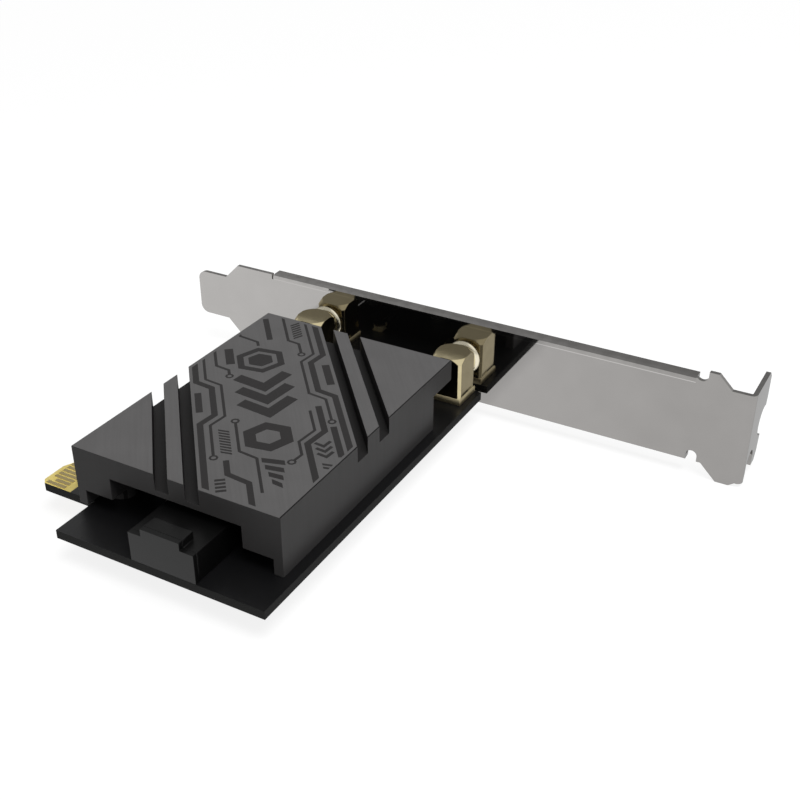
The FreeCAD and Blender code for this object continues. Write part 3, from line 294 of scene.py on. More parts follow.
def placed(mesh, finish, replaced, smooth=True):
    """The object of a mesh, in one finish, riding on the card in place of the solids in replaced."""
    mesh.polygons.foreach_set("use_smooth", np.full(len(mesh.polygons), smooth))
    mesh.materials.clear()
    mesh.materials.append(finish)
    made = bpy.data.objects.new(mesh.name, mesh)
    bpy.context.scene.collection.objects.link(made)
    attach(made, "root")
    if replaced:
        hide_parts(*replaced)
    print("%-24s %6d points %6d faces" % (mesh.name, len(mesh.vertices), len(mesh.polygons)))
    return made


def piece(name, parts, finish, replaced=(), smooth=True):
    """One piece from several surfaces, in millimetres. Normals weighted by area keep its flats flat."""
    points, faces, offset = [], [], 0
    for part_points, part_faces in parts:
        points.append(part_points)
        faces += [row for block in part_faces for row in (np.asarray(block) + offset).tolist()]
        offset += len(part_points)
    mesh = bpy.data.meshes.new(name)
    mesh.from_pydata((np.vstack(points) * MM).tolist(), [], faces)
    made = placed(mesh, finish, replaced, smooth)
    if smooth:
        made.modifiers.new("flats stay flat", "WEIGHTED_NORMAL")

# %% Softened edges
SHARP = 30.0    # degrees: what turns more than this is an edge to be softened
FLAT = 0.3      # degrees: what turns less than this is one face
SAME = 0.001    # millimetres: points that are nearer than this are one point


def eased(node, name, ease, finish):
    """A merged copy of a solid: flat triangles are joined into whole faces, and edges are rounded."""
    shape = bmesh.new()
    shape.from_mesh(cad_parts[node].data)
    bmesh.ops.remove_doubles(shape, verts=shape.verts, dist=SAME * MM)
    bmesh.ops.dissolve_limit(shape, angle_limit=math.radians(FLAT), verts=shape.verts, edges=shape.edges)
    mesh = bpy.data.meshes.new(name)
    shape.to_mesh(mesh)
    shape.free()
    if "custom_normal" in mesh.attributes:
        mesh.attributes.remove(mesh.attributes["custom_normal"])
    made = placed(mesh, finish, [node])
    rounding = made.modifiers.new("softened edges", "BEVEL")
    rounding.width = ease * MM
    rounding.segments = 2
    rounding.limit_method = "ANGLE"
    rounding.angle_limit = math.radians(SHARP)
    made.modifiers.new("flats stay flat", "WEIGHTED_NORMAL")
    print("    its edges are eased by %.2f mm" % ease)

# %% [markdown]
# ## How finishes are made here
#
# Each material starts from plain values on its shader, and patterns on the object's own coordinates take
# the place of some of them. Most small parts need no more than one recipe: a noise of a real size moves the
# colour between two near ones, the roughness with it, and raises a relief of a few micrometres. The larger
# surfaces get recipes of their own, further down.

# %% Tools for finishes


def join(shader, **fillings):
    """Fills the shader's sockets, each named with _ for a space."""
    fill(shader, {field.replace("_", " "): filling for field, filling in fillings.items()})


def begin(name, base, roughness, metallic=0.0, **more):
    """A material that starts from plain values: it, its tree, its shader and the places on the object."""
    made = bpy.data.materials.new(name)
    made.use_nodes = True
    tree = made.node_tree
    shader = tree.nodes["Principled BSDF"]
    join(shader, Base_Color=base, Roughness=roughness, Metallic=metallic, **more)
    return made, tree, shader, add(tree, "TexCoord").outputs["Object"]


def grained(name, first, second, size, smoothest, roughest, metallic, relief, strength=0.5,
            stretch=(0.3, 0.7), **more):
    """A finish that follows one noise of a real size, in millimetres, whose range stretch becomes 0 to 1.

    With no second colour the first stays plain, and with no relief the surface stays even.
    """
    made, tree, shader, places = begin(name, first, smoothest, metallic, **more)
    noise = add(tree, "TexNoise", {"Vector": places, "Scale": every(size), "Detail": 3.0})
    swing = add(tree, "MapRange", [noise, *stretch])
    rough = add(tree, "MapRange", [swing, 0.0, 1.0, smoothest, roughest])
    join(shader, Roughness=rough)
    if second:
        tone = add(tree, "Mix", {0: swing, 6: first, 7: second}, data_type="RGBA")
        join(shader, Base_Color=tone)
    if relief:
        bump = add(tree, "Bump", {"Height": noise, "Strength": strength, "Distance": relief * MM})
        join(shader, Normal=bump)
    return made


def dress(nodes, finish):
    """Gives a finish to solids that keep their own shape."""
    for node in nodes:
        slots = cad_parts[node].data.materials
        slots.clear()
        slots.append(finish)
    print("%s: %s" % (finish.name, ", ".join(nodes)))

# %% [markdown]
# ## Bracket: bright zinc-plated steel
#
# The bracket is one sheet of steel, cut, folded and then plated, and its plating is bright enough to mirror
# the board. A metal has no colour of its own beside what it mirrors, so the base colour is how much of the
# light it sends back. What tells it from a perfect mirror is faint: it has cloudy patches some millimetres
# across, and fine drawing marks run along the strip. These go into colour, roughness and bump, and none
# changes the outline. Its colour is also painted darker towards the screw tab, a painted shade that stands
# for the dimmer reflection there.
# At a grazing angle the plate stays grey, so the tint at the edge of sight is kept below white. The clear
# film over the zinc adds a trace of haze, which lifts the deepest reflections, hence metallic just below
# one.
#
# The press flattens the outside of each fold, so its lower half mirrors what the plate mirrors, up to a
# fine crease halfway. Where the fold meets the plate a lighter line is painted on, a painted highlight. How
# far the surface turns upward tells where on the fold a point lies, and the shading follows that: below the
# crease its normal is the plate's.

# %% Plated steel
STEEL_CLOUD = 7.0      # millimetres across
STEEL_BLOTCH = 1.6     # the same on the flanges, which the folding worked
STEEL_MARK = 0.35      # millimetres between drawing marks
STEEL_MARK_RUN = 25.0  # how much longer they are than wide
TAB_SHADE_FROM, TAB_SHADE_TO = -50.0, 50.0   # millimetres along X, over which the painted shade darkens the plate towards the screw tab
FOLD_CREASE = (0.76, 0.70)         # upward share of the normal where the crease starts and ends
FOLD_HIGHLIGHT = (0.085, 0.065)         # the same for the middle and half width of the painted highlight line on the fold
TO_BOARD = -0.2                    # share along Y below which the normal points to the board

plated_steel, tree, shader, places = begin("bright zinc plate on steel", "#B0AEAB", 0.05, 0.99,
                                           Specular_Tint="#C4C4C4")
cloud = add(tree, "TexNoise", {"Vector": places, "Scale": every(STEEL_CLOUD), "Detail": 3.0})
rough = add(tree, "MapRange", [cloud, 0.3, 0.7, 0.02, 0.07])
along = add(tree, "SeparateXYZ", [places])
# painted shade: the plate's colour darkens along X towards the screw tab, standing for its dimmer reflection
# there
tab_shade = add(tree, "MapRange", [along.outputs["X"], TAB_SHADE_FROM * MM, TAB_SHADE_TO * MM])
thick = add(tree, "Mix", {0: tab_shade, 6: "#B5B3B1", 7: "#9E9C9A"}, data_type="RGBA")
thin = add(tree, "Mix", {0: tab_shade, 6: "#ADABA9", 7: "#949290"}, data_type="RGBA")
patchy = add(tree, "Mix", {0: cloud, 6: thick, 7: thin}, data_type="RGBA")
surface = add(tree, "NewGeometry")
upward = add(tree, "SeparateXYZ", [surface.outputs["True Normal"]])
blotch = add(tree, "TexNoise", {"Vector": places, "Scale": every(STEEL_BLOTCH), "Detail": 2.0})
blotch = add(tree, "MapRange", [blotch, 0.35, 0.65, 0.0, 0.32])
blotch = add(tree, "Math", [blotch, upward.outputs["Z"]], operation="MULTIPLY", use_clamp=True)
blotched = add(tree, "Mix", {0: blotch, 6: patchy, 7: "#767472"}, data_type="RGBA")
turned = add(tree, "SeparateXYZ", [surface.outputs["Normal"]])
to_board = add(tree, "Math", [turned.outputs["Y"], TO_BOARD], operation="LESS_THAN")
# painted highlight: a lighter line where the fold, facing the board, meets the plate
line = add(tree, "Math", [turned.outputs["Z"], *FOLD_HIGHLIGHT], operation="COMPARE")
line = add(tree, "Math", [line, to_board], operation="MULTIPLY")
plate = add(tree, "Mix", {0: line, 6: blotched, 7: "#BAB8B6"}, data_type="RGBA")
flat = add(tree, "MapRange", [turned.outputs["Z"], *FOLD_CREASE])
flat = add(tree, "Math", [flat, to_board], operation="MULTIPLY")
pressed = add(tree, "Mix", {0: flat, 4: surface.outputs["Normal"], 5: (0.0, -1.0, 0.0)}, data_type="VECTOR")
pressed = add(tree, "VectorMath", [pressed.outputs[1]], operation="NORMALIZE")
stretched = add(tree, "Mapping", {"Vector": places, "Scale": (1 / STEEL_MARK_RUN, 1.0, 1.0)})
marks = add(tree, "TexNoise", {"Vector": stretched, "Scale": every(STEEL_MARK), "Detail": 2.0})
bump = add(tree, "Bump", {"Height": marks, "Strength": 0.25, "Distance": 0.002 * MM, "Normal": pressed})
join(shader, Base_Color=plate, Roughness=rough, Normal=bump)

eased("bracket", "bracket_folded_sheet", 0.07, plated_steel)

# %% [markdown]
# ## Heat sink: dark anodised aluminium
#
# One block, milled from an extrusion and anodised nearly black, then brushed on its top face only, which
# leaves that face a lighter grey while the grooves and sides stay dark. Dye in the hard clear layer makes
# it look like a satin coat, not like a mirror, so the shader is a dielectric with a wide soft gloss. The
# brushing runs along the grooves. Its lines are finer than the picture can show, so they are drawn half a
# millimetre apart, and faint. Two facts pick the top face out: it looks straight up, and it lies at the
# block's full height. A narrow strip of it at its right end is painted near black, a painted shade line
# along that edge. The four outer sides face along X or Y, and keep the extrusion's smooth skin. The
# grooves' walls stand aslant and are milled, and they and every other face that is neither an outer side
# nor the top face are given a darker colour.

# %% Anodised aluminium
GROOVE_TURN = -50.0     # degrees from X: the way of the grooves, and of the brushing
BRUSH_PITCH = 0.5       # millimetres between the lines
BRUSH_RUN = 30.0        # how much longer they are than wide
SINK_PATCH = 9.0        # millimetres across a patch of other tone
EDGE_SHADE_STRIP = 0.24         # millimetres of the top face at its right end painted near black: a painted shade line along that edge
TOP_LAYER = 0.2         # millimetres: what lies deeper isn't the top face
UP = 0.98               # share of the normal along Z above which a face looks straight up
SIDEWAYS = 0.8          # the same along X or Y for an outer side
SINK_BOX = np.array(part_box("heat_sink")) / MM
SINK_TOP = SINK_BOX[1][2]

anodised, tree, shader, places = begin("dark anodised aluminium, top face brushed", "#2E2D2D", 0.4,
                                       Specular_IOR_Level=0.1)
along = add(tree, "Mapping", {"Vector": places, "Rotation": (0, 0, math.radians(-GROOVE_TURN))})
drawn = add(tree, "Mapping", {"Vector": along, "Scale": (1 / BRUSH_RUN, 1.0, 1 / BRUSH_RUN)})
brush = add(tree, "TexNoise", {"Vector": drawn, "Scale": every(BRUSH_PITCH), "Detail": 4.0})
patch = add(tree, "TexNoise", {"Vector": places, "Scale": every(SINK_PATCH), "Detail": 2.0})
blend = add(tree, "Math", [brush, patch], operation="MULTIPLY")
swing = add(tree, "MapRange", [blend, 0.12, 0.4])
brushed = add(tree, "Mix", {0: swing, 6: "#5B5A5A", 7: "#616060"}, data_type="RGBA")
skin = add(tree, "Mix", {0: patch, 6: "#424141", 7: "#494848"}, data_type="RGBA")
milled = add(tree, "Mix", {0: patch, 6: "#232222", 7: "#272626"}, data_type="RGBA")
facing = add(tree, "NewGeometry").outputs["True Normal"]
aside = add(tree, "VectorMath", [facing], operation="ABSOLUTE")
aside = add(tree, "SeparateXYZ", [aside])
aside = add(tree, "Math", [aside.outputs["X"], aside.outputs["Y"]], operation="MAXIMUM")
outside = add(tree, "Math", [aside, SIDEWAYS], operation="GREATER_THAN")
dyed = add(tree, "Mix", {0: outside, 6: milled, 7: skin}, data_type="RGBA")
facing = add(tree, "SeparateXYZ", [facing])
level_face = add(tree, "Math", [facing.outputs["Z"], UP], operation="GREATER_THAN")
at = add(tree, "SeparateXYZ", [places])
high = add(tree, "Math", [at.outputs["Z"], (SINK_TOP - TOP_LAYER) * MM], operation="GREATER_THAN")
# painted shade: the top face is near black in a narrow strip at its right end, for the dark line along that
# edge
inner = add(tree, "Math", [at.outputs["X"], (SINK_BOX[1][0] - EDGE_SHADE_STRIP) * MM], operation="LESS_THAN")
top_face = add(tree, "Math", [level_face, high], operation="MULTIPLY")
ground = add(tree, "Mix", {0: inner, 6: "#131212", 7: brushed}, data_type="RGBA")
tone = add(tree, "Mix", {0: top_face, 6: dyed, 7: ground}, data_type="RGBA")
rough = add(tree, "MapRange", [brush, 0.0, 1.0, 0.36, 0.5])
bump = add(tree, "Bump", {"Height": brush, "Strength": 0.35, "Distance": 0.01 * MM})
join(shader, Base_Color=tone, Roughness=rough, Normal=bump)

eased("heat_sink", "heat_sink_block", 0.1, anodised)

# %% [markdown]
# ## Printed pattern
#
# The brushed face carries a pattern in dark ink between its two pairs of grooves, screen printed, so it has
# hard edges and one even colour, and lies a few hundredths of a millimetre proud. The pattern here is a
# plain one made for this lesson: tracks with slanted turns along both margins, as on a circuit, and
# hexagons and arrows between them. It is drawn in its own two directions, s along the grooves and t across
# them, in millimetres from the middle of the block, and turned into place afterwards.
#
# A track is a pen line of some width. Each of its corners moves out along the mitre, which is the sum of
# the two sides' directions, divided by its own share along the second. What runs past the border is cut
# off, one straight border at a time: corners on the right side stay, and where a side crosses the border a
# new corner is set.

# %% Where the pattern lies
SINK_MIDDLE = SINK_BOX.mean(axis=0)[:2]
SINK_HALF = (SINK_BOX[1] - SINK_BOX[0])[:2] / 2
ALONG = np.array([math.cos(math.radians(GROOVE_TURN)), math.sin(math.radians(GROOVE_TURN))])
ACROSS = np.array([-ALONG[1], ALONG[0]])
PRINT_MARGIN = 0.75              # millimetres kept bare along the block's edges
PRINT_BAND = (-13.6, 11.5)       # t, between the inner grooves
INK_TOP, INK_FOOT = SINK_TOP + 0.02, SINK_TOP - 0.05
SMALLEST_SHAPE = 0.35            # square millimetres: a smaller rest at a border isn't printed

BORDERS = [(np.array([0.0, 1.0]), PRINT_BAND[1]), (np.array([0.0, -1.0]), -PRINT_BAND[0])]
for axis in (0, 1):
    normal = np.array([ALONG[axis], ACROSS[axis]])
    BORDERS += [(normal, SINK_HALF[axis] - PRINT_MARGIN), (-normal, SINK_HALF[axis] - PRINT_MARGIN)]
print("the band is", PRINT_BAND[1] - PRINT_BAND[0], "mm wide")

# %% Outlines


def track(path, width):
    """The outline of a pen line with mitred corners: half the width on each side of every run."""
    path = np.array(path, float)
    runs = np.diff(path, axis=0)
    runs /= np.linalg.norm(runs, axis=1)[:, None]
    sides = np.stack([-runs[:, 1], runs[:, 0]], axis=1)
    before, after = np.vstack([sides[:1], sides]), np.vstack([sides, sides[-1:]])
    mitre = before + after
    mitre *= width / 2 / (mitre * after).sum(axis=1)[:, None]
    return np.vstack([path + mitre, (path - mitre)[::-1]])


def slanted(s, t, length, height, lean):
    """A leaning bar: a box around (s, t), whose upper side is moved by lean along s."""
    s_places = s + np.array([-length, length, length, -length]) / 2 + np.array([-lean, -lean, lean, lean]) / 2
    return np.stack([s_places, t + np.array([-height, -height, height, height]) / 2], axis=1)


def polygon(s, t, radius, sides):
    """A regular polygon's corners, radius (cos, sin) from its middle."""
    return np.stack([s + radius * np.cos(angles(sides)), t + radius * np.sin(angles(sides))], axis=1)


print("a track with one bend has", len(track([(0, 0), (4, 0), (6, 2)], 1.0)), "corners")

# %% Ink


def on_block(corners, height):
    """Corners (s, t) turned into place on the block: middle + s along + t across, at that height."""
    flat = SINK_MIDDLE + corners[..., :1] * ALONG + corners[..., 1:] * ACROSS
    return np.concatenate([flat, np.broadcast_to(height, flat.shape[:-1] + (1,))], axis=-1)


def polygon_ring(s, t, outside, inside, sides):
    """A closed band between two polygons: four rings of corners, joined round and round."""
    rims = np.stack([polygon(s, t, radius, sides) for radius in (outside, outside, inside, inside)])
    points = on_block(rims, np.array([INK_FOOT, INK_TOP, INK_TOP, INK_FOOT])[:, None, None])
    index = np.arange(4 * sides).reshape(4, sides)
    above, after = np.roll(index, -1, axis=0), np.roll(index, -1, axis=1)
    quads = np.stack([index, after, np.roll(above, -1, axis=1), above], axis=2)
    return points.reshape(-1, 3), [quads.reshape(-1, 4)]


def trimmed(outline):
    """What lies inside every border, each given by its outward normal and how far out it is."""
    for normal, limit in BORDERS:
        past = outline @ normal - limit
        after, past_after = np.roll(outline, -1, axis=0), np.roll(past, -1)
        share = past / np.where(past == past_after, 1, past - past_after)
        crossing = outline + share[:, None] * (after - outline)
        use = np.stack([past <= 0, (past <= 0) != (past_after <= 0)], axis=1)
        outline = np.stack([outline, crossing], axis=1)[use]
    return outline


def inked(outline):
    """A thin closed slab with what is left of an outline inside the borders, or nothing."""
    outline = trimmed(outline)
    after = np.roll(outline, -1, axis=0)
    area = (outline[:, 0] * after[:, 1] - outline[:, 1] * after[:, 0]).sum() / 2
    if abs(area) < SMALLEST_SHAPE:
        return None
    outline = outline if area > 0 else outline[::-1]
    count = len(outline)
    first = np.arange(count)
    after = np.roll(first, -1)
    walls = np.stack([first, after, after + count, first + count], axis=1)
    points = np.vstack([on_block(outline, INK_FOOT), on_block(outline, INK_TOP)])
    return points, [[first[::-1]], [first + count], walls]


print("a square of 2 mm becomes", len(inked(polygon(0.0, 0.0, math.sqrt(2), 4))[0]), "points of ink")

# %% Pattern
TRACKS = [
    # width, corners as (s, t)
    (1.1, [(-17, -12.9), (-9, -12.9), (-6.4, -10.3), (3, -10.3), (5.6, -12.9), (27, -12.9)]),
    (0.5, [(-19, -11.2), (-9.7, -11.2), (-7.1, -8.6), (3.7, -8.6), (6.3, -11.2), (15.6, -11.2)]),
    (1.2, [(-5.0, -12.8), (1.7, -12.8)]),
    (0.55, [(-23, -9.0), (-14.5, -9.0), (-12.4, -6.9), (-10.9, -6.9)]),
    (1.0, [(17.5, -9.3), (21.5, -9.3), (24.6, -6.2), (33, -6.2)]),
    (0.5, [(6.4, -7.0), (15.2, -7.0), (17.8, -4.4), (27.6, -4.4)]),
    (1.1, [(-30, 10.7), (-15, 10.7), (-12.4, 8.1), (-2, 8.1), (0.6, 10.7), (22, 10.7)]),
    (0.5, [(-30, 9.0), (-15.7, 9.0), (-13.1, 6.4), (-1.3, 6.4), (1.3, 9.0), (8.2, 9.0)]),
    (1.4, [(-11.0, 10.6), (-3.6, 10.6)]),
    (0.55, [(-33, 5), (-22, 5), (-20.2, 6.8), (-16.7, 6.8)]),
    (1.1, [(3.4, 7.4), (11.7, 7.4), (15.0, 4.1), (30, 4.1)]),
    (0.5, [(4.6, 5.8), (11.1, 5.8), (14.1, 2.8), (18.1, 2.8), (19.4, 1.5)]),
    (0.55, [(-30, -3.9), (-25.6, -3.9), (-22.5, -0.8), (-20.9, -0.8)]),
    (1.1, [(-32, 1.6), (-23.0, 1.6)]),
    (1.6, [(-20.6, -6.4), (-14.6, -6.4)]),
    (1.1, [(10.6, 9.0), (20.0, 9.0)]),
]
VIAS = [(16.35, -11.2), (8.95, 9.0), (19.93, 0.97), (-10.15, -6.9), (-15.95, 6.8), (5.65, -7.0)]
HATCHES = [
    # first s, t, how many, step, length, height, lean
    (8.5, -9.1, 9, 0.85, 0.45, 1.8, 0.9),
    (-28.5, 7.0, 7, 0.9, 0.5, 1.8, -0.9),
    (22.9, -10.6, 4, 1.0, 0.55, 1.7, 0.0),
    (21.9, 6.6, 5, 1.0, 0.55, 1.9, 0.9),
]
ARROWS = [
    # s of the tip, t, reach, width
    (-4.9, -1.1, 4.5, 2.3), (-0.4, -1.1, 4.5, 2.3), (4.1, -1.1, 4.5, 2.3),
    (16.3, 6.6, 1.3, 0.6), (17.9, 6.6, 1.3, 0.6), (19.5, 6.6, 1.3, 0.6),
]

outlines = [track(corners, width) for width, corners in TRACKS]
outlines += [slanted(first + step * i, t, length, height, lean)
             for first, t, count, step, length, height, lean in HATCHES for i in range(count)]
outlines += [track([(s - reach, t - reach), (s, t), (s - reach, t + reach)], width)
             for s, t, reach, width in ARROWS]
outlines += [polygon(-15.2, -0.9, 2.5, 6)]
outlines += [slanted(19.2 + 2.1 * i, -1.9, 1.3, 3.6 - 0.7 * i, 1.5) for i in range(4)]
slabs = [slab for slab in map(inked, outlines) if slab]
slabs += [polygon_ring(s, t, 0.8, 0.42, 8) for s, t in VIAS]
slabs += [polygon_ring(-15.2, -0.9, 4.9, 3.5, 6), polygon_ring(11.6, -2.0, 4.6, 2.3, 6)]

ink = grained("dark printing ink, screened", "#262525", "#2D2B2B", 0.3, 0.42, 0.6, 0.0, None,
              stretch=(0.0, 1.0), Specular_IOR_Level=0.2)
piece("heat_sink_print", slabs, ink, smooth=False)
print(len(slabs), "printed shapes")

# %% [markdown]
# ## Circuit board: black solder mask
#
# The board is glass laminate under a black, slightly glossy solder mask, which follows the copper below it.
# The edge tongue has no mask around its contacts, and the bare field there is a strong yellow. Its cut
# sides show the laminate, which on such a board is nearly as dark as the mask. One material holds all
# three: the yellow belongs where the face looks up or down and X lies past the end of the field, and the
# cut sides are where it looks sideways. The copper shows as a faint relief, drawn with square cells a few
# millimetres wide.

# %% Solder mask and bare laminate
FIELD_END = -37.6     # millimetres: X at which the bare field of the tongue ends
WEAVE = 0.45          # millimetres between the glass threads
COPPER_CELL = 3.2     # millimetres across one cell of the relief
SPECKLE = 0.6         # millimetres between the mask's specks
LEVEL = 0.3           # share of the normal along Z, up or down, above which a face isn't a cut side

board_finish, tree, shader, places = begin("black solder mask on glass laminate", "#121213", 0.3)
axes = add(tree, "SeparateXYZ", [places])
facing = add(tree, "SeparateXYZ", [add(tree, "NewGeometry").outputs["True Normal"]])
level_face = add(tree, "Math", [facing.outputs["Z"]], operation="ABSOLUTE")
level_face = add(tree, "Math", [level_face, LEVEL], operation="GREATER_THAN")
in_field = add(tree, "Math", [axes.outputs["X"], FIELD_END * MM], operation="LESS_THAN")
bare = add(tree, "Math", [in_field, level_face], operation="MULTIPLY")
threads = add(tree, "TexWave", {"Vector": places, "Scale": every(WEAVE) / 20, "Distortion": 1.5},
              bands_direction="DIAGONAL")
yellow = add(tree, "Mix", {0: threads.outputs[1], 6: "#DAC468", 7: "#E5D078"}, data_type="RGBA")
masked = add(tree, "Mix", {0: level_face, 6: "#0B0B0A", 7: "#121213"}, data_type="RGBA")
tone = add(tree, "Mix", {0: bare, 6: masked, 7: yellow}, data_type="RGBA")
speckle = add(tree, "TexNoise", {"Vector": places, "Scale": every(SPECKLE), "Detail": 4.0})
mask_rough = add(tree, "MapRange", [speckle, 0.0, 1.0, 0.24, 0.42])
rough = add(tree, "Mix", {0: level_face, 2: 0.95, 3: mask_rough})
copper = add(tree, "TexVoronoi", {"Vector": places, "Scale": every(COPPER_CELL), "Randomness": 0.6},
             distance="CHEBYCHEV", feature="F1")
edges = add(tree, "MapRange", [copper.outputs["Distance"], 0.35, 0.42])
relief = add(tree, "Math", [edges, speckle], operation="ADD")
bump = add(tree, "Bump", {"Height": relief, "Strength": 0.25, "Distance": 0.02 * MM})
join(shader, Base_Color=tone, Roughness=rough, Normal=bump)

eased("circuit_board", "board_with_edge_tongue", 0.09, board_finish)

# %% [markdown]
# ## Gold
#
# Gold shows three times: hard gold, satin and thin, on the contacts and pins, a paler bright plate on the
# turned brass of the jacks, and the palest, satin again, on the rings behind them. All are metals with the
# default index of refraction. The jacks carry fine turning lines, and the contacts a slight grain from the
# plating bath. What lies low on the jacks was milled, not turned, and isn't as bright.

# %% Gold plate
contact_gold = grained("hard gold plate", "#D2C08C", None, 0.25, 0.4, 0.6, 1.0, 0.005, strength=0.2,
                       stretch=(0.0, 1.0))
ring_gold = grained("pale gold plate, satin", "#F1EAD4", "#E9E0C6", 0.4, 0.2, 0.32, 1.0, None,
                    stretch=(0.0, 1.0))

BASE_TOP = 7.5    # millimetres: the jacks' bases and the small plugs lie below this
TURNING = 0.12    # millimetres between turning lines
TONE = 2.5        # millimetres across a patch of other tone
jack_gold, tree, shader, places = begin("pale gold plate on turned brass", "#E2D5AC", 0.14, 1.0)
cloud = add(tree, "TexNoise", {"Vector": places, "Scale": every(TONE), "Detail": 3.0})
tone = add(tree, "Mix", {0: cloud, 6: "#D3C6A0", 7: "#C2B690"}, data_type="RGBA")
rough = add(tree, "MapRange", [cloud, 0.3, 0.7, 0.1, 0.22])
at = add(tree, "SeparateXYZ", [places])
foot = add(tree, "Math", [at.outputs["Z"], BASE_TOP * MM], operation="LESS_THAN")
bright = add(tree, "Mix", {0: foot, 2: 1.0, 3: 0.45})
rough = add(tree, "Mix", {0: foot, 2: rough, 3: 0.5})
lines = add(tree, "Mapping", {"Vector": places, "Scale": (0.05, 1.0, 0.05)})
turning = add(tree, "TexNoise", {"Vector": lines, "Scale": every(TURNING), "Detail": 2.0})
bump = add(tree, "Bump", {"Height": turning, "Strength": 0.07, "Distance": 0.006 * MM})
join(shader, Base_Color=tone, Metallic=bright, Roughness=rough, Normal=bump)

dress(["edge_contacts_top", "edge_contacts_bottom", "cable_header_pins"], contact_gold)

# %% [markdown]
# ## Antenna jacks
#
# An antenna jack is turned and milled from one brass bar and gold plated. It stands in the board on four
# legs and a square base. Above the base is a block with a narrow slot low on both sides, where rinse water
# leaves. The block was turned on top, so its flat sides run up into a round disc: where the cone of the
# turned top cuts the flats it leaves their arched upper edges, and where it cuts the corners it leaves
# bright bands. In polar form the block is one formula, the smallest of three radii at angle t and height z:
# half / max(|cos t|, |sin t|) for the flats, cut / (|cos t| + |sin t|) for the cut corners, and top radius
# + (top - z) for the cone.
#
# The turned half is a second stack of rings round Y: neck, thread, tip and the hole with its floor. The
# thread is a true helix: crest - depth p(y / pitch - t / turn), with p a rounded V between 0 and 1. A satin
# ring with a coned front sits round the neck, against the bracket.

# %% Jack sizes
# all in millimetres
JACK_X = (-27.505, 3.995)   # middles of the two jacks
JACK_Y = 27.165
JACK_AXIS_Z = 12.25
BOARD_TOP = 6.25
BASE_HALF = 3.35
BASE_BEVEL = 0.25
BLOCK_TOP = 15.65
BLOCK_HALF = 3.2
CORNER_SUM = 5.9            # |x| + |y| on the cut corners
DISC_RADIUS = 3.3
NECK = 2.8
COLLAR = 3.45
COLLAR_FRONT, COLLAR_REAR = 31.2, 31.865
FOOT_SLOT = (27.65, 29.3, 7.74, 8.19)    # y from and to, z from and to
SLOT_DEPTH = 1.0
BARREL_START = 29.8         # inside the block
BARREL_TIP = 42.465
CREST = 3.175
PITCH = 0.7056              # 36 turns to the inch
THREAD_DEPTH = 0.433
HOLE = 2.3
HOLE_FLOOR = 38.465
HOLE_END = 37.6             # where the rings end, below the floor
INSULATOR = 2.05
LEG = 2.54                  # from the middle to the legs, both ways
LEGS = [(side, end) for side in (-LEG, LEG) for end in (-LEG, LEG)]
print("the jacks stand %.2f mm apart" % (JACK_X[1] - JACK_X[0]))

# %% Jack blocks


def square(turn, half):
    """The radius of a square: half / max(|cos t|, |sin t|)."""
    return half / np.maximum(np.abs(np.cos(turn)), np.abs(np.sin(turn)))


def block_radius(turn, level):
    """The block's radius: flats, cut corners and the turned cone, whichever is the smallest."""
    corners = CORNER_SUM / (np.abs(np.cos(turn)) + np.abs(np.sin(turn)))
    cone = DISC_RADIUS + (BLOCK_TOP - level)
    return smaller(smaller(square(turn, BLOCK_HALF), corners, 0.05), cone, 0.04)


def slot_depth(turn, level):
    """The slots' depth inside them, low on the two sides, and none elsewhere."""
    on_side = np.abs(np.cos(turn)) > np.abs(np.sin(turn))
    place = JACK_Y + BLOCK_HALF * np.sin(turn) / np.where(on_side, np.abs(np.cos(turn)), 1)
    from_y, to_y, from_z, to_z = FOOT_SLOT
    return SLOT_DEPTH * (on_side & (place > from_y) & (place < to_y) & (level > from_z) & (level < to_z))


def jack_block(x):
    """Square base with its bevelled top edge, then the block with its slots, turned top and flat disc."""
    turn = angles(384)[None, :]
    base = np.array([BOARD_TOP, BASE_TOP - BASE_BEVEL, BASE_TOP])[:, None]
    base_half = np.array([BASE_HALF, BASE_HALF, BLOCK_HALF])[:, None]
    bottom, top = FOOT_SLOT[2:]
    foot = np.array([BASE_TOP, bottom - 0.05, bottom, bottom + 0.01, top - 0.01, top, top + 0.05])
    cone = np.linspace(top, BLOCK_TOP - 1.45, 3)[1:]
    steps = np.linspace(BLOCK_TOP - 1.4, BLOCK_TOP - 0.04, 42)
    height = np.concatenate([foot, cone, steps])[:, None]
    edge = np.minimum(DISC_RADIUS, block_radius(turn, BLOCK_TOP - 0.04))
    lid = edge - np.array([0.0, 0.03, 0.06, 1.2])[:, None]
    radius = np.vstack([square(turn, base_half), block_radius(turn, height) - slot_depth(turn, height), lid])
    lid_level = [BLOCK_TOP - 0.01, BLOCK_TOP, BLOCK_TOP, BLOCK_TOP]
    return rings(radius, np.concatenate([base[:, 0], height[:, 0], lid_level]), (x, JACK_Y))


print("the block reaches %.2f mm from its middle at its corners" % block_radius(np.pi / 4, BASE_TOP))

# %% Jack barrels


def thread(turn, place):
    """Barrel radius with a rounded V running round it, fading out at the collar and at the tip's chamfer."""
    phase = np.mod((place - COLLAR_REAR) / PITCH - turn / (2 * np.pi), 1)
    groove = 0.5 + 0.5 * np.cos(2 * np.pi * phase)
    groove = np.clip(1.35 * groove - 0.2, 0, 1)
    fade = np.clip((place - COLLAR_REAR) / 0.5, 0, 1) * np.clip((BARREL_TIP - 0.05 - place) / 0.5, 0, 1)
    chamfer = np.clip(place - (BARREL_TIP - 0.35), 0, 1)
    return CREST - THREAD_DEPTH * groove * fade - chamfer


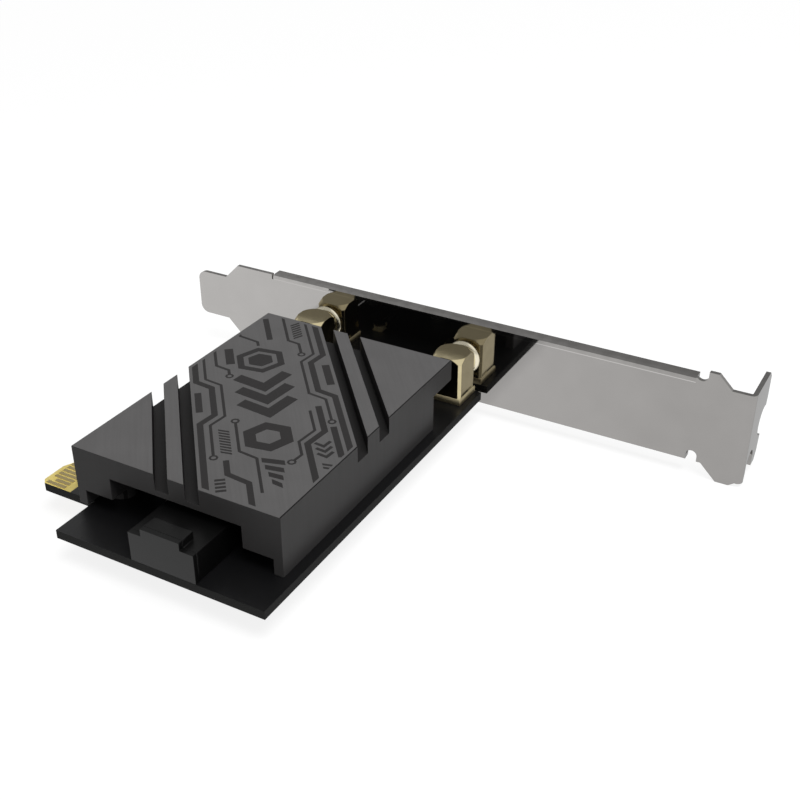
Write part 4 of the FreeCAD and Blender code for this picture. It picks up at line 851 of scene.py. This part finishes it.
def jack_barrel(x):
    """The turned half: it starts inside the block and ends on the floor of the hole."""
    turn = angles(96)[None, :]
    start = np.array([BARREL_START, COLLAR_REAR, COLLAR_REAR])
    plain = np.array([NECK, NECK, CREST])
    along = np.linspace(COLLAR_REAR + 0.03, BARREL_TIP - 0.01, 150)
    cut = thread(turn, along[:, None])
    ends = np.array([BARREL_TIP, BARREL_TIP, BARREL_TIP - 0.12, HOLE_FLOOR + 0.05, HOLE_FLOOR, HOLE_FLOOR,
                     HOLE_END])
    inner = np.array([2.75, HOLE + 0.15, HOLE, HOLE, HOLE - 0.05, INSULATOR + 0.02, INSULATOR + 0.02])
    radius = np.vstack([plain[:, None] * np.ones((1, 96)), cut, inner[:, None] * np.ones((1, 96))])
    return rings(radius, np.concatenate([start, along, ends]), (x, JACK_AXIS_Z), axis="Y")


print("the thread turns %.1f times" % ((BARREL_TIP - COLLAR_REAR) / PITCH))

# %% Legs, rings and whole jacks


def jack_legs(x):
    """Four square legs, soldered under the board, with pointed ends."""
    tip_to_root = np.array([0.55, 0.9, 0.96, 0.96])[:, None] * square(angles(8)[None, :], 0.5)
    level = np.array([3.75, 4.0, 4.2, 6.3])
    return [rings(tip_to_root, level, (x + side, JACK_Y + end)) for side, end in LEGS]


def closed_band(radius, level, x):
    """Rings round a jack's axis that go up the outside, back through the bore, and close on themselves."""
    points, (quads, start, end) = rings(radius, level, (x, JACK_AXIS_Z), axis="Y")
    index = np.arange(radius.size).reshape(radius.shape)
    closing = np.stack([index[-1], np.roll(index[-1], -1), np.roll(index[0], -1), index[0]], axis=1)
    return points[:-2], [quads, closing]


def shoulder(x):
    """The ring against the bracket: a cone of 45 degrees up to its rim."""
    level = np.array([COLLAR_FRONT, COLLAR_FRONT, COLLAR_REAR - 0.08, COLLAR_REAR - 0.02, COLLAR_REAR,
                      COLLAR_REAR])
    reach = np.array([NECK - 0.3, NECK + 0.05, COLLAR - 0.02, COLLAR, COLLAR, NECK - 0.3])
    return closed_band(reach[:, None] * np.ones((1, 144)), level, x)


for side, x in zip(("left", "right"), JACK_X):
    node = "antenna_jack_" + side
    piece(node + "_body", [jack_block(x), jack_barrel(x)] + jack_legs(x), jack_gold, [node])
piece("jack_shoulder_rings", [shoulder(x) for x in JACK_X], ring_gold)

# %% [markdown]
# ## Nuts and washers
#
# A hexagonal nut is bar stock with its ends turned, so each end is a cone that cuts the six flats in arcs.
# That is again the smaller of two radii: flat / cos(angle from the middle of the flat), and the cone. The
# threaded hole follows the barrel. The washers are plain and only get their edges eased.

# %% Nuts
NUT_FRONT, NUT_REAR = 33.325, 35.725
NUT_HALF_FLATS = 4.0
NUT_BORE = 3.0


def nut(x):
    """Up the outside, over the end, down the bore and back."""
    turn = angles(144)[None, :]
    flat = NUT_HALF_FLATS / np.cos(np.mod(turn + np.pi / 6, np.pi / 3) - np.pi / 6)
    outside = np.concatenate([[NUT_FRONT, NUT_FRONT + 0.05], np.linspace(NUT_FRONT + 0.1, NUT_REAR - 0.1, 24),
                              [NUT_REAR - 0.05, NUT_REAR]])[:, None]
    depth = np.minimum(outside - NUT_FRONT, NUT_REAR - outside)
    shape = smaller(flat, NUT_HALF_FLATS + 0.02 + 1.7 * depth, 0.08)
    levels = np.concatenate([outside[:, 0], [NUT_REAR, NUT_REAR, NUT_REAR - 0.25],
                             [NUT_FRONT + 0.25, NUT_FRONT, NUT_FRONT]])
    bore = np.array([NUT_BORE + 0.5, NUT_BORE + 0.25, NUT_BORE, NUT_BORE, NUT_BORE + 0.25, NUT_BORE + 0.5])
    return closed_band(np.vstack([shape, bore[:, None] * np.ones((1, 144))]), levels, x)


piece("hex_nuts", [nut(x) for x in JACK_X], jack_gold, ["jack_nuts"])
eased("jack_washers", "turned_washers", 0.06, jack_gold)

# %% [markdown]
# ## Moulded plastics
#
# The cable header is glass-filled nylon: black, with a fine spark-eroded grain from its mould and small
# bright specks of glass at the skin. The sockets are a smoother liquid-crystal polymer, and the insulators
# in the jacks are white fluoropolymer, which is waxy.

# %% Plastics
GRIT = 0.18    # millimetres between grains

header_nylon, tree, shader, places = begin("black glass-filled nylon", "#0B0B0B", 0.36,
                                           Specular_IOR_Level=0.3)
grit = add(tree, "TexNoise", {"Vector": places, "Scale": every(GRIT), "Detail": 3.0})
specks = add(tree, "MapRange", [grit, 0.62, 0.75])
tone = add(tree, "Mix", {0: specks, 6: "#0A0A0A", 7: "#161616"}, data_type="RGBA")
rough = add(tree, "MapRange", [grit, 0.0, 1.0, 0.3, 0.45])
bump = add(tree, "Bump", {"Height": grit, "Strength": 0.3, "Distance": 0.01 * MM})
join(shader, Base_Color=tone, Roughness=rough, Normal=bump)

eased("cable_header", "cable_header_moulding", 0.12, header_nylon)
eased("cable_header_cap", "cable_header_front", 0.06, header_nylon)

# %% [markdown]
# ## Finishes of the hidden pieces
#
# Below the heat sink are the radio module, its socket, the two thin coaxial leads and the power converter.
# Hardly any of it shows, but each gets the finish of its own kind, from the recipe above, in one table.
# Plated screws and tinned leads have a satin shine, and the drawn cover a smoother one. Solder mask is glossy
# green. Moulded epoxy, pressed ferrite and the silicone pad are dull and finely grained, and fired ceramic
# is sandy brown. The socket, the insulators and the leads' jackets have the soft gloss of smooth plastic.

# %% Small parts
FINISHES = [
    # the solids that wear it
    # its name, first and second colour, millimetres, roughness from and to, metallic, relief in millimetres
    (["module_standoff", "module_screw"],
     "zinc-plated screw steel, turned", "#A9A8A6", "#8E8D8B", 0.25, 0.22, 0.42, 1.0, 0.006),
    (["radio_module_board"], "green solder mask", "#1D4A2C", "#173D25", 0.8, 0.25, 0.4, 0.0, 0.01),
    (["radio_module_shield"],
     "tinned steel cover, drawn", "#B9B8B3", "#A3A29D", 1.5, 0.18, 0.34, 1.0, 0.004),
    (["radio_chip", "power_regulator"],
     "black epoxy moulding", "#232324", "#2D2D2E", 0.12, 0.5, 0.68, 0.0, 0.006),
    (["thermal_pad"], "grey silicone pad", "#7D8590", "#717985", 0.3, 0.7, 0.9, 0.0, 0.02),
    (["module_socket"], "black liquid-crystal polymer", "#1C1C1E", "#242426", 0.2, 0.4, 0.55, 0.0, 0.005),
    (["module_socket_leads"], "matt tin plate", "#C2C1BC", "#A8A7A2", 0.15, 0.3, 0.5, 1.0, 0.005),
    (["jack_insulators"], "white fluoropolymer", "#E9E8E2", "#DEDDD6", 0.6, 0.35, 0.5, 0.0, 0.004),
    (["coax_jumper_left", "coax_jumper_right"],
     "black fluoropolymer jacket", "#1A1A1B", "#222223", 0.4, 0.3, 0.45, 0.0, 0.006),
    (["power_inductor"], "grey ferrite, pressed", "#3A3B3D", "#2E2F31", 0.1, 0.6, 0.8, 0.0, 0.01),
    (["board_capacitors"], "barium titanate ceramic", "#8A6E4C", "#7A6142", 0.2, 0.4, 0.6, 0.0, 0.004),
]
for nodes, *recipe in FINISHES:
    dress(nodes, grained(*recipe))
dress(["jack_centre_contacts", "module_receptacles", "board_receptacles", "jumper_plugs"], jack_gold)
screw_steel = bpy.data.materials["zinc-plated screw steel, turned"]
eased("heat_sink_screws", "screws_with_turned_heads", 0.08, screw_steel)

# %% [markdown]
# ## Solder
#
# Legs and pins come through the board, and solder has drawn itself up round each of them: a small bright
# cone with hollow sides. Its radius falls from the pad towards the leg's tip as foot - (foot - tip)
# sqrt(h), which is steep at the leg and flat at the pad.

# %% Solder cones under the board
BOARD_UNDERSIDE = 4.65
SOLDER_HEIGHT = 0.62
PIN_X = [-10.18 + 2.0 * i for i in range(-2, 3)]
PIN_Y = -30.745
# x, y, radius at the pad, radius at the tip
SOLDERED = [(x + side, JACK_Y + end, 1.05, 0.56) for x in JACK_X for side, end in LEGS]
SOLDERED += [(x, JACK_Y, 0.95, 0.5) for x in JACK_X]
SOLDERED += [(x, PIN_Y, 0.75, 0.36) for x in PIN_X]


def solder_cone(x, y, foot, tip):
    """One cone, from its tip up to the pad, and a little way into the board."""
    share = np.linspace(1, 0, 9)
    radius = foot - (foot - tip) * np.sqrt(share)
    level = BOARD_UNDERSIDE - SOLDER_HEIGHT * share
    radius = np.concatenate([[tip - 0.1], radius, [foot]])[:, None] * np.ones((1, 32))
    return rings(radius, np.concatenate([[level[0] - 0.05], level, [BOARD_UNDERSIDE + 0.05]]), (x, y))


solder = grained("soft solder", "#C9C8C3", "#B4B3AE", 0.5, 0.12, 0.28, 1.0, 0.01)
piece("solder_cones", [solder_cone(*joint) for joint in SOLDERED], solder)
